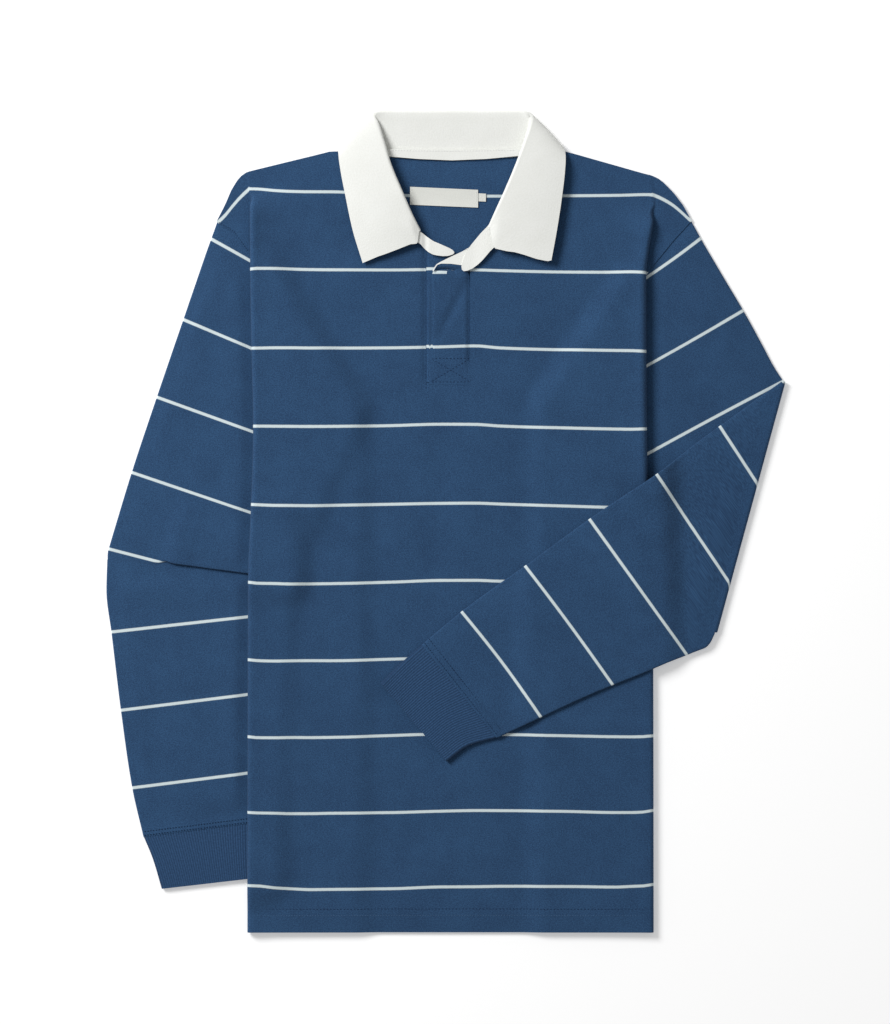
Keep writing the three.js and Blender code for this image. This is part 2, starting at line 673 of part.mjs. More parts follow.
function cuffSolid(stations, level) {
  const place = (station, [x, y], offset) => [x, y, level(x, y) + cuffHalf + offset];
  const shape = { half: cuffHalf, wall: ribKnit.wall, top: ribSteps, bottom: plainSteps, place };
  const rings = stations.map((station) => tubeRing(station, shape)).reverse();
  const around = rings[0].length;
  const raised = (point, i) => {
    const step = i % around;
    return step < ribSteps.length && step % 2 === 1 ? ribKnit.relief : 0;
  };
  return new Sheet(ribKnit.wall).addGrid(rings, { closed: true }).solid(raised);
}
const cuffRight = cuffSolid(rightCuff, () => ribKnit.wall / 2);
const cuffLeft = cuffSolid(leftCuff, (x, y) => overBody(x, y) + seamGap);

// Collar: stand from the seam up to the crest, and leaf over or under it
const standSteps = [0, 1 / 3, 2 / 3];
const crestTurns = [-1, -0.5, 0, 0.5, 1];
const leafSteps = [0.25, 0.5, 0.75, 1];

function collarSection(station) {
  const side = Math.sign(station.cx);
  const angle = Math.PI * station.under;
  const radius = lerp(collarRoll.sides, collarRoll.back, station.under);
  const up = [side * collarCorner.x * Math.sin(angle), collarCorner.y * Math.sin(angle), Math.cos(angle)];
  const mid = [(station.sx + station.ex) / 2, (station.sy + station.ey) / 2];
  const run = Math.hypot(station.cx - mid[0], station.cy - mid[1]);
  const out = [(station.cx - mid[0]) / run, (station.cy - mid[1]) / run, 0];
  const crest = [station.cx, station.cy, station.cz];
  const turned = crestTurns.map((share) => {
    const beta = (share * Math.PI) / 2;
    return crest.map((c, k) => c + radius * (Math.cos(beta) * out[k] - out[k] + Math.sin(beta) * up[k]));
  });
  const seam = [station.sx, station.sy, station.sz];
  const edge = [station.ex, station.ey, station.ez];
  const stand = standSteps.map((share) => seam.map((s, k) => lerp(s, turned[0][k], share)));
  const leaf = leafSteps.map((share) => edge.map((e, k) => lerp(turned.at(-1)[k], e, share)));
  return [...stand, ...turned, ...leaf];
}
const collar = new Sheet(twill.wall).addGrid(collarStations.map(collarSection)).solid();

// Small flat pieces, each between two lines of equal count
function strip(railA, railB, wall, level, steps = 2) {
  const rows = railA.map((a, i) => {
    const b = railB[i];
    return Array.from({ length: steps + 1 }, (_, step) => {
      const x = lerp(a[0], b[0], step / steps);
      const y = lerp(a[1], b[1], step / steps);
      return [x, y, level(x, y)];
    });
  });
  return new Sheet(wall).addGrid(rows).solid();
}

const upright = (x, ys) => ys.map((y) => [x, y]);
const underFoot = placket.bottom + seamGap;
const placketUnder = strip(
  upright(placket.right + seamGap, [underFoot, 190, 252]),
  upright(placket.left - placket.step, [underFoot, 190, 242]),
  jersey.wall,
  (x, y) => panelHeight(x, y, 1),
);
const overFoot = placket.bottom - placket.lap;
const placketOver = strip(
  upright(placket.right + placket.step, [overFoot, 180, 231.8]),
  upright(placket.left + placket.lap, [overFoot, 180, 238]),
  jersey.wall,
  (x, y) => panelHeight(x, y, 2),
  3,
);
const facing = strip(
  [[27, 255.5], [15, 249.6], [5, 244.6], [-3.4, 239.8]],
  [[24, 240.2], [14, 237], [5, 235.8], [-5, 235.6]],
  tapeWall,
  (x, y) => panelHeight(x, y, 2),
);
const tabRight = strip(
  [[-21.8, 268.2], [-14, 263.2], [-4, 257.4], [5, 251.4], [8.4, 248.8]],
  [[-22.6, 255], [-17, 250.2], [-11, 246.4], [-3.5, 243.6], [6.4, 245.4]],
  tapeWall,
  (x, y) => panelHeight(x, y, 2.4),
);
const tabLeft = strip(
  [[38.6, 271.4], [33.6, 264.4], [28.5, 257.6], [20.4, 243.6], [15, 234]],
  [[42.4, 251.6], [39.8, 246], [35.6, 240.2], [29, 233.8], [19, 229]],
  tapeWall,
  (x, y) => panelHeight(x, y, 2.8),
);
const neckTape = strip(
  [[-57, 342.6], [-25, 342.2], [6, 342.1], [38, 342.2], [66, 342.6]],
  [[-55, 336.8], [-25, 334.6], [6, 333.4], [38, 334.6], [64, 336.8]],
  tapeWall,
  (x, y) => readTable([{ y: 333, z: 4.8 }, { y: 343, z: 5.9 }], 'y', y, 'z') + Math.abs(x - 6) * 0.012,
  1,
);
const labelLevel = (x, y) => panelHeight(x, y, 0) + jersey.wall / 2 + seamGap + tapeWall / 2;
const label = strip(
  [[-32.2, 308.2], [-1, 306.8], [30.4, 305.4]],
  [[-32.2, 291.8], [-1, 290.4], [30.4, 289.1]],
  tapeWall,
  labelLevel,
);
const sizeTab = strip(
  [[30.8, 302.2], [37.6, 301.9]],
  [[30.8, 294.9], [37.6, 294.6]],
  tapeWall,
  labelLevel,
  1,
);

const shirt = new THREE.Group();
shirt.name = 'rugby_shirt';
function addPiece(name, geometry, color, roughness) {
  const mesh = new THREE.Mesh(geometry, new THREE.MeshStandardMaterial({ color, roughness, metalness: 0 }));
  mesh.name = name;
  shirt.add(mesh);
}
addPiece('front', front, colours.blue, 0.9);
addPiece('back', back, colours.blue, 0.9);
addPiece('sleeve_right', sleeveRight, colours.blue, 0.9);
addPiece('sleeve_left', sleeveLeft, colours.blue, 0.9);
addPiece('cuff_right', cuffRight, colours.blue, 0.95);
addPiece('cuff_left', cuffLeft, colours.blue, 0.95);
addPiece('placket_under', placketUnder, colours.blue, 0.9);
addPiece('placket_over', placketOver, colours.blue, 0.9);
addPiece('neck_facing', facing, colours.white, 0.85);
addPiece('collar', collar, colours.white, 0.85);
addPiece('collar_tab_right', tabRight, colours.white, 0.85);
addPiece('collar_tab_left', tabLeft, colours.white, 0.85);
addPiece('neck_tape', neckTape, colours.white, 0.85);
addPiece('label', label, colours.label, 0.8);
addPiece('size_tab', sizeTab, colours.label, 0.8);

export default shirt;
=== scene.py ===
import math

import bpy
import numpy as np
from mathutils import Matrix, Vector


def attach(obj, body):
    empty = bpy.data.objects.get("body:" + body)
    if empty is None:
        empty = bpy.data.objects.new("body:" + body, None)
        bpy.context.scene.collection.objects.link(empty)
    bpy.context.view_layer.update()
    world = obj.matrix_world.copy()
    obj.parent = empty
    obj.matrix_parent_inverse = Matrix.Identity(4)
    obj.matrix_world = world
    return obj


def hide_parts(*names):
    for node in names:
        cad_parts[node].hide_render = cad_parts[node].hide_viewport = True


# A rugby shirt laid flat. Lengths are in millimetres until a mesh is made, and in metres from there on.
# Left and right are the wearer's, so the right sleeve is on the -x side.

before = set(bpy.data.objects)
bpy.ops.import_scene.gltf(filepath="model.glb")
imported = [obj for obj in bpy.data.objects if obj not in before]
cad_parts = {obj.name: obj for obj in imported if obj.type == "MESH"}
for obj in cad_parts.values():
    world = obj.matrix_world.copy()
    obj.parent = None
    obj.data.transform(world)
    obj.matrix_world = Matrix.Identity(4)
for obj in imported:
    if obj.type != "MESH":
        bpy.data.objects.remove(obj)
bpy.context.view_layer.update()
rng = np.random.default_rng(11)
toMetres = 0.001

cloth = {
    "wall": 0.9,
    "pitch": 1.6,
    "firstLayer": 0.55,
    "settleStart": 9.0,
    "settleRun": 24.0,
}


# Small numeric helpers

def lerp(a, b, t):
    return a + (b - a) * t


def ease(t):
    t = np.clip(t, 0.0, 1.0)
    return t * t * (3 - 2 * t)


def bump(t):
    return np.exp(-np.square(t))


# Rows of a table with named columns
def named(keys, rows):
    return [dict(zip(keys.split(), row)) for row in rows]


def column(table, key):
    return np.array([row[key] for row in table], float)


# Smooth reading of a table that never overshoots its rows
def flowing(x, y, q):
    x, y, q = np.asarray(x, float), np.asarray(y, float), np.asarray(q, float)
    h = np.diff(x)
    d = np.diff(y) / h
    m = np.concatenate([d[:1], np.zeros(len(d) - 1), d[-1:]])
    a, b = d[:-1], d[1:]
    same = a * b > 0
    w1, w2 = 2 * h[1:] + h[:-1], h[1:] + 2 * h[:-1]
    m[1:-1][same] = ((w1 + w2)[same]) / (w1[same] / a[same] + w2[same] / b[same])
    i = np.clip(np.searchsorted(x, q) - 1, 0, len(h) - 1)
    t = np.clip((q - x[i]) / h[i], 0, 1)
    t2, t3 = t * t, t * t * t
    return ((2 * t3 - 3 * t2 + 1) * y[i] + (t3 - 2 * t2 + t) * h[i] * m[i]
            + (3 * t2 - 2 * t3) * y[i + 1] + (t3 - t2) * h[i] * m[i + 1])


# Point at a share of the length of a line
def alongLine(line, share):
    line = np.asarray(line, float)
    steps = np.concatenate([[0], np.cumsum(np.linalg.norm(np.diff(line, axis=0), axis=1))])
    at = np.asarray(share) * steps[-1]
    return np.stack([np.interp(at, steps, line[:, 0]), np.interp(at, steps, line[:, 1])], -1)


def distanceOutside(outline, x, y):
    inside = np.zeros(np.shape(x), bool)
    nearest = np.full(np.shape(x), np.inf)
    outline = np.asarray(outline, float)
    for a, b in zip(outline, np.roll(outline, -1, axis=0)):
        if a[1] != b[1]:
            crosses = ((a[1] > y) != (b[1] > y)) & (x < a[0] + (b[0] - a[0]) * (y - a[1]) / (b[1] - a[1]))
            inside ^= crosses
        run = b - a
        t = np.clip(((x - a[0]) * run[0] + (y - a[1]) * run[1]) / max(run @ run, 1e-9), 0, 1)
        nearest = np.minimum(nearest, np.hypot(x - a[0] - t * run[0], y - a[1] - t * run[1]))
    return np.where(inside, -nearest, nearest)


def covered(outline, x, y):
    return 1 - ease((distanceOutside(outline, x, y) - cloth["settleStart"]) / cloth["settleRun"])


# Distance from an open line, and the share of its length at the nearest point
def lineDistance(line, x, y):
    line = np.asarray(line, float)
    total = np.sum(np.linalg.norm(np.diff(line, axis=0), axis=1))
    nearest = np.full(np.shape(x), np.inf)
    share = np.zeros(np.shape(x))
    done = 0.0
    for a, b in zip(line[:-1], line[1:]):
        run = b - a
        length = math.hypot(*run)
        t = np.clip(((x - a[0]) * run[0] + (y - a[1]) * run[1]) / length ** 2, 0, 1)
        d = np.hypot(x - a[0] - t * run[0], y - a[1] - t * run[1])
        closer = d < nearest
        nearest = np.where(closer, d, nearest)
        share = np.where(closer, (done + t * length) / total, share)
        done += length
    return nearest, share


# Shape of the laid shirt

body = {
    "hemY": -377.2,
    "sideFlap": 86.0,
    "foldEdge": named("y right left", [
        [-377.2, -181.6, 191.8], [-127, -181.2, 191.4], [-55, -180.8, 189.5], [16, -178.1, 186.8],
        [87, -176.3, 185.4], [159, -177.8, 184.9], [227, -179.0, 184.8], [250, -179.1, 187.2],
        [285, -179.3, 192.0], [303, -179.3, 190.6], [322, -179.4, 187.4],
    ]),
    "pleat": named("right left turn depth", [
        [227, 213, math.pi, 8], [241, 227, math.pi, 6.5], [257, 243, math.pi, 5], [273, 259, math.pi, 3.5],
        [285, 271, 2.4, 2.4], [296, 282, 1.3, 1.8], [306, 293, 0.25, 1.5], [322.5, 319.2, 0.1, 1.5],
    ]),
    "outerRoll": 3.3,
    "armRoll": 1.6,  # more of it over the left upper arm
    "flatRoll": 2.4,
    "innerRoll": 0.8,
    "baseY": 200.0,
    "collarLift": 2.1,
    "cuffLift": 1.1,
}
# Loft of the front: how it fades at its edges and by the neck, and the groove along the placket
loftShape = {
    "height": 1.1, "foldInset": 6, "foldRun": 40, "topY": 345, "topRun": 40, "hemInset": 4, "hemRun": 30,
    "neck": [3, 300], "neckRun": 75, "neckShare": 0.25,
    "groove": 1.15, "grooveInset": 0.7, "grooveWidth": 2.8, "grooveFoot": 124, "grooveRun": 8,
}

armhole = {
    "right": {
        "shown": [[-210.2, 276], [-195, 266.3], [-180, 246], [-170.4, 230.8]],
        "hidden": [[-168, 227], [-156.4, 204], [-128.8, 158], [-93.8, 102.1]],
        "clear": [0.9, 0.7],
    },
    "left": {
        "shown": [[226.8, 276.9], [210.7, 259.4], [190, 234], [177.6, 216.6]],
        "hidden": [[175, 213], [162.8, 193], [135.2, 151], [103, 102.1]],
        "clear": [-0.8, 0.8],
    },
}
shoulderCap = {
    "right": [[-179.4, 322.5], [-184.6, 319], [-188.6, 314.6], [-194.6, 305.4], [-200.8, 292.5], [-210.2, 276]],
    "left": [[186.8, 319.2], [192.7, 316.5], [196.9, 313.3], [207.6, 303.4], [217.5, 291.5], [226.8, 276.9]],
}
frontTop = [
    [-179.4, 322.5], [-152, 329.2], [-106, 340.4], [-98, 340.6], [-88, 339.4], [-83.6, 336], [-79, 328.7],
    [-69.9, 312.2], [-57, 289.2], [-37.5, 268.9], [-17.5, 256], [23, 243.5], [41.2, 253.2], [54.1, 271.6],
    [67.9, 289.1], [81.7, 312.1], [90.9, 328.7], [95.5, 336], [100, 339.4], [110, 340.6], [124, 337],
    [186.8, 319.2],
]
backTop = [
    [-179.4, 322.5], [-152, 329.2], [-106, 340.4], [-98, 340.6], [-88, 339.8], [-60, 335.9], [-20, 333.4],
    [25, 333.2], [72, 335.9], [100, 339.8], [110, 340.6], [124, 337], [186.8, 319.2],
]
placket = {"left": 23.0, "right": -17.5, "bottom": 127.9, "step": 3.7}

rightSleeve = {
    "upper": named("ox oy ix iy rise", [
        [-219.9, 246.6, -102.1, 82.8, 0], [-240.1, 187.7, -116.8, 49.7, 0], [-265, 115, -129.7, 20.2, 0.05],
        [-288, 46, -140.8, -4.6, 0.25], [-302, 0, -147.5, -22, 0.8], [-310.0, -27, -149, -46, 1.0],
    ]),
    "lower": named("ox oy ix iy rise", [
        [-310.6, -35, -149.4, -54, 0], [-311.4, -62.6, -156.4, -68, 0], [-306.8, -101.2, -160.1, -90, 0],
        [-298.1, -173, -163.8, -158.2, 0], [-287.6, -244.7, -167, -230.9, 0], [-277.3, -289.5, -168, -275.5, 0],
    ]),
    "tuckOuter": [-310.3, -30.3],
    "tuckInner": [-149.0, -51.8],
    "tuckAcross": named("v turn depth", [
        [0, 0.0, 1.5], [0.22, 0.0, 1.5], [0.3, 0.3, 1.2], [0.36, 1.9, 1.2], [0.42, 2.9, 2.5],
        [0.48, math.pi, 9], [0.56, math.pi, 15], [0.7, math.pi, 20], [0.82, math.pi, 22], [0.88, 2.8, 3],
        [0.93, 1.9, 1.2], [1, 0.0, 1.5],
    ]),
}
leftSleeve = {
    "upper": named("ox oy ix iy", [
        [237.4, 256.7, 121.4, 74.5], [254.8, 227.2, 142.6, 42.3], [276, 191.4, 176.6, -7.4],
        [292.6, 161, 212.5, -60.7], [302.7, 142.1, 235.5, -93.8], [309.6, 131.6, 246.5, -100.6],
    ]),
    "endRun": [86, 69],
    "endLength": 110.3,
    "fold": {"ox": 310.4, "oy": 129.8, "ix": 247.5, "iy": -101.2},
    "lower": named("ox oy ix iy", [
        [307.6, 127.6, 247.2, -103.2], [291.6, 116.4, 243.3, -111.3], [266.8, 98.4, 239.2, -115.5],
        [234.6, 75.4, 233.7, -117.8], [194.7, 44.6, 227.7, -120.1], [162.8, 23.5, 222.2, -122.4],
        [132.8, 3.2, 205.2, -128.8], [103, -18.4, 179.4, -139.8], [74.1, -39.6, 154.3, -149.7],
        [44.2, -60.7, 121.4, -163.8], [16, -81.5, 88.7, -179.1], [-21.4, -112.6, 47.6, -198.6],
    ]),
}
cuffs = {
    "wall": 1.1,
    "half": 0.75,
    "endHalf": 1.3,
    "relief": 0.42,
    "pitch": 2.1,
    "ribs": 45,
    "right": named("ox oy ix iy", [
        [-277.6, -288, -167.9, -273.9], [-268.5, -310, -168.4, -304], [-260.4, -337.2, -168.4, -326.6],
    ]),
    "left": named("ox oy ix iy", [
        [-20.4, -111.7, 48.6, -197.9], [-39.6, -128.8, 23, -205.2], [-58.9, -147.7, 1.7, -220.2],
    ]),
}

outward = {"right": -1.0, "left": 1.0}


def edgeAt(side, y):
    return flowing(column(body["foldEdge"], "y"), column(body["foldEdge"], side), y)


def rollAt(side, y):
    extra = body["armRoll"] * ease((y - 20) / 30) * (1 - ease((y - 212) / 50))
    return body["outerRoll"] + (extra if side == "left" else 0)


def outerEdge(rows):
    return [[row["ox"], row["oy"]] for row in rows]


def innerEdge(rows):
    return [[row["ix"], row["iy"]] for row in rows]


under = {
    "rightSleeve": armhole["right"]["hidden"] + innerEdge(rightSleeve["upper"] + rightSleeve["lower"])
    + innerEdge(cuffs["right"]) + outerEdge(cuffs["right"])[::-1]
    + outerEdge(rightSleeve["upper"] + rightSleeve["lower"])[::-1],
    "rightCuff": innerEdge(cuffs["right"]) + outerEdge(cuffs["right"])[::-1],
    "tuck": [[-200, 8], [-156, 2], [-150, -50], [-200, -46]],
    "leftSleeve": armhole["left"]["hidden"] + innerEdge(leftSleeve["upper"])
    + outerEdge(leftSleeve["upper"])[::-1],
    "collar": [[-92.6, 344], [-80, 330.3], [-55.2, 327], [6.4, 325.7], [66.2, 327], [91, 331.5], [104.6, 344],
               [75.5, 373.5], [6.4, 373.8], [-63.5, 373.5]],
}


def flapOutline(side):
    fold = float(edgeAt(side, 0.0))
    seam = fold - outward[side] * body["sideFlap"]
    far = fold + outward[side] * cloth["settleRun"]
    hidden = armhole[side]["hidden"]
    low = body["hemY"] - cloth["settleRun"]
    return [[far, hidden[0][1]], *hidden, [seam, low], [far, low]]


flaps = {side: flapOutline(side) for side in outward}


def underSleeves(x, y):
    twoLayers = 2 * cloth["pitch"]
    sleeves = covered(under["rightSleeve"], x, y) + covered(under["leftSleeve"], x, y)
    cuff = body["cuffLift"] * covered(under["rightCuff"], x, y)
    return twoLayers * (sleeves + covered(under["tuck"], x, y)) + cuff


def layerHeight(count):
    return cloth["firstLayer"] + count * cloth["pitch"]


def panelHeight(x, y, count):
    flap = np.maximum(covered(flaps["right"], x, y), covered(flaps["left"], x, y))
    collarUnder = body["collarLift"] * covered(under["collar"], x, y)
    return layerHeight(count) + underSleeves(x, y) + 2 * cloth["pitch"] * flap + collarUnder


# Creases, listed one by one: a line, its width, its height (a trough where negative)
bodyCreases = named("line width height", [
    [[[1, 122], [-2, 60], [-8, -10], [-22, -95]], 13, -0.75], [[[-38, 118], [-34, 40], [-36, -60]], 20, 0.35],
    [[[28, 118], [24, 50], [14, -50]], 16, 0.4], [[[-97, 150], [-99, 60], [-101, -20]], 12, -0.45],
    [[[-60, -60], [-72, -150], [-66, -240]], 17, 0.5], [[[-30, -120], [-36, -200], [-24, -290]], 14, -0.4],
    [[[60, -230], [64, -290], [58, -350]], 18, 0.35], [[[120, -190], [126, -260], [118, -345]], 16, -0.35],
    [[[-128, -90], [-135, -190], [-126, -280]], 15, 0.4],
    [[[-110, -160], [-116, -230], [-108, -320]], 11, -0.35], [[[112, 160], [104, 90], [98, 10]], 13, -0.4],
    [[[60, 200], [56, 120], [62, 50]], 22, 0.4], [[[-150, 215], [-142, 150], [-148, 60]], 12, 0.35],
    [[[150, 318], [166, 310], [178, 300]], 8, -0.6], [[[-98, 322], [-130, 318], [-160, 306]], 12, 0.35],
    [[[-30, 232], [-90, 228], [-150, 236]], 14, 0.3], [[[-64, -142], [-30, -183], [6, -226]], 8, -1.7],
    [[[-84, -150], [-48, -192], [-16, -238]], 13, 0.8],
])
waves = [
    {"angle": a, "length": l, "phase": p, "height": h}
    for a, l, p, h in zip(rng.uniform(0, math.pi, 14), rng.uniform(38, 120, 14),
                          rng.uniform(0, 2 * math.pi, 14), rng.uniform(0.03, 0.1, 14))
]


def unevenness(x, y):
    total = np.zeros(np.shape(x))
    for wave in waves:
        along = x * math.cos(wave["angle"]) + y * math.sin(wave["angle"])
        total += wave["height"] * np.sin(2 * math.pi * along / wave["length"] + wave["phase"])
    return total


def creased(creases, x, y):
    total = np.zeros(np.shape(x))
    for crease in creases:
        d, share = lineDistance(crease["line"], x, y)
        fade = np.sin(math.pi * np.clip(share, 0.02, 0.98)) ** 0.7
        total += crease["height"] * bump(d / crease["width"]) * fade
    return total


# How far the front stands above the back, beyond one layer
def frontLoft(x, y):
    shape = loftShape
    fromFold = np.minimum(x - edgeAt("right", y), edgeAt("left", y) - x)
    inner = ease((fromFold - shape["foldInset"]) / shape["foldRun"])
    inner = inner * ease((shape["topY"] - y) / shape["topRun"])
    inner = inner * ease((y - body["hemY"] + shape["hemInset"]) / shape["hemRun"])
    fromNeck = np.hypot(x - shape["neck"][0], y - shape["neck"][1])
    nearNeck = 1 - bump(fromNeck / shape["neckRun"])
    height = shape["height"] + creased(bodyCreases, x, y) + unevenness(x, y)
    fromSlit = (x - placket["right"] + shape["grooveInset"]) / shape["grooveWidth"]
    groove = shape["groove"] * bump(fromSlit) * ease((y - shape["grooveFoot"]) / shape["grooveRun"])
    return np.maximum(height, 0.0) * inner * lerp(shape["neckShare"], 1.0, nearNeck) - groove


# Stripes: height of each one at some places across the body
bodyStripes = {
    "x": [-179.7, -171.7, -155.7, -141.8, -123.8, -104.8, -49.9, -4.0, 28.0, 50.9, 105.8, 156.7, 170.7,
          182.7, 189.7],
    "y": [
        [306.3, 306.0, 304.5, 303.8, 303.5, 303.5, 300.5, 299.9,
         299.7, 299.7, 299.8, 300.2, 300.6, 301.0, 300.9],
        [232.0, 232.8, 232.7, 232.4, 232.0, 231.8, 231.7, 232.2,
         231.8, 231.1, 229.8, 229.5, 229.5, 228.9, 228.2],
        [159.5, 159.6, 159.9, 159.9, 159.7, 159.8, 160.1, 161.0,
         161.9, 160.0, 158.3, 157.4, 157.2, 156.6, 156.3],
        [87.9, 88.0, 87.9, 87.8, 87.7, 87.8, 88.6, 89.9,
         89.7, 88.2, 86.5, 85.3, 85.1, 85.4, 85.6],
        [16.2, 15.8, 15.2, 15.1, 15.0, 15.3, 16.3, 17.1,
         17.3, 16.5, 14.8, 13.4, 13.2, 13.4, 13.8],
        [-55.2, -56.1, -56.4, -56.8, -56.8, -56.6, -55.3, -53.7,
         -53.6, -54.4, -54.9, -55.1, -54.9, -54.5, -53.9],
        [-126.4, -127.2, -127.6, -127.4, -127.3, -127.4, -126.1, -125.0,
         -124.8, -125.2, -125.8, -126.4, -126.4, -126.0, -125.4],
        [-197.1, -197.9, -198.0, -197.8, -198.0, -197.8, -196.2, -195.1,
         -195.1, -195.3, -196.2, -197.2, -197.3, -197.1, -196.4],
        [-266.5, -266.9, -267.2, -267.8, -267.8, -267.5, -267.1, -265.8,
         -265.2, -265.3, -265.7, -266.8, -266.8, -266.3, -265.0],
        [-333.5, -333.8, -335.6, -336.7, -337.6, -337.4, -337.0, -335.4,
         -335.2, -334.8, -334.7, -335.2, -334.6, -334.1, -333.0],
    ],
    "spacing": 71.3,
    "width": 3.1,
}


capStripe = {
    "right": ([-210, -208.4, -201.9, -195.5, -190, -185.4, -181.7, -179.8],
              [274.6, 275.9, 282.1, 290.2, 296.6, 301.3, 304.6, 306.3]),
    "left": ([190, 193.7, 198.3, 203.8, 209.3, 214.8, 220.3, 225.4],
             [301.0, 299.8, 297.8, 294.9, 291.5, 287.1, 282.1, 277.2]),
}


def bodyStripe(x, y):
    rows = np.array([flowing(bodyStripes["x"], row, x) for row in bodyStripes["y"]])
    capRight = (x < -179.8) & (y > body["baseY"])
    capLeft = (x > 190) & (y > body["baseY"])
    rows[0] = np.where(capRight, np.interp(x, *capStripe["right"]), rows[0])
    rows[0] = np.where(capLeft, np.interp(x, *capStripe["left"]), rows[0])
    slope = np.where(capRight, 0.66, np.where(capLeft, 0.8, 1.0))
    count = (rows[0] - y) / bodyStripes["spacing"] * slope
    for i in range(len(rows) - 1):
        here = (y < rows[i]) & (slope == 1.0)
        count = np.where(here, i + (rows[i] - y) / (rows[i] - rows[i + 1]), count)
    return np.where(y < rows[-1], len(rows) - 1 + (rows[-1] - y) / bodyStripes["spacing"], count)


# Each stripe of a sleeve part is a line from its outer to its inner end, and how far it bows
sleeveStripes = {
    "rightUpper": [
        [-214.4, 259.9, -179.4, 240.3, 0], [-240.1, 185.9, -179.4, 160.3, 0], [-265, 114.8, -177.6, 83.3, 0],
        [-288, 45.6, -179.4, 8.8, 0], [-310, -24.5, -179.4, -58.2, 0], [-332, -95, -179.4, -132, 0],
    ],
    "rightLower": [
        [-316, 46, -179.4, 58, 0], [-310, -24.8, -179.4, -14.7, 0], [-306.4, -101.1, -181.2, -87.1, 0],
        [-298.1, -173.1, -181.2, -158.5, 0], [-288.9, -244.6, -181.2, -230.8, 0], [-279.7, -316.5, -181.2, -302.7, 0],
    ],
    "leftUpper": [
        [239.2, 264, 186.8, 225.8, -0.7], [276, 195.6, 184.9, 143.4, -0.5], [311, 129.5, 186.8, 63.1, 0.5],
        [346.8, 64, 198, -16, 0], [382, -2, 214, -92, 0],
    ],
    "leftLower": [
        [311, 128.8, 345, 82, 0], [253.4, 86.5, 283.4, 40.5, 0], [193.6, 44.2, 260.8, -55.2, 0],
        [133.1, 1.8, 222.4, -122.4, 0], [73.7, -40.5, 154.3, -150, -0.9], [15.6, -82.8, 87.6, -178.5, -1.7],
        [-43, -125, 28.5, -220.8, 0],
    ],
    "first": {"rightUpper": 0, "rightLower": 3, "leftUpper": 0, "leftLower": 2},
}


def sleeveStripe(part, x, y):
    signed = []
    for ax, ay, bx, by, bow in sleeveStripes[part]:
        length = math.hypot(bx - ax, by - ay)
        t = np.clip(((x - ax) * (bx - ax) + (y - ay) * (by - ay)) / length ** 2, 0, 1)
        signed.append(((x - ax) * (by - ay) - (y - ay) * (bx - ax)) / length - bow * np.sin(math.pi * t))
    signed = np.array(signed)
    if signed[0].mean() < signed[-1].mean():
        signed = -signed
    count = np.zeros(np.shape(x))
    for i in range(len(signed) - 1):
        t = signed[i] / np.where(np.abs(signed[i] - signed[i + 1]) < 1e-6, 1e-6, signed[i] - signed[i + 1])
        use = (t >= 0) if i else np.ones(np.shape(x), bool)
        count = np.where(use, i + t, count)
    return count + sleeveStripes["first"][part]


# Cloth meshes

def place(name, data):
    made = bpy.data.objects.new(name, data)
    bpy.context.scene.collection.objects.link(made)
    return made


def makeMesh(name, points, faces, uvs, material):
    mesh = bpy.data.meshes.new(name)
    mesh.from_pydata((np.asarray(points) * toMetres).tolist(), [], faces)
    layer = mesh.uv_layers.new(name="cloth")
    layer.data.foreach_set("uv", (np.asarray(uvs) * toMetres).astype(np.float32).reshape(-1))
    mesh.polygons.foreach_set("use_smooth", np.ones(len(faces), bool))
    mesh.materials.append(material)
    return mesh


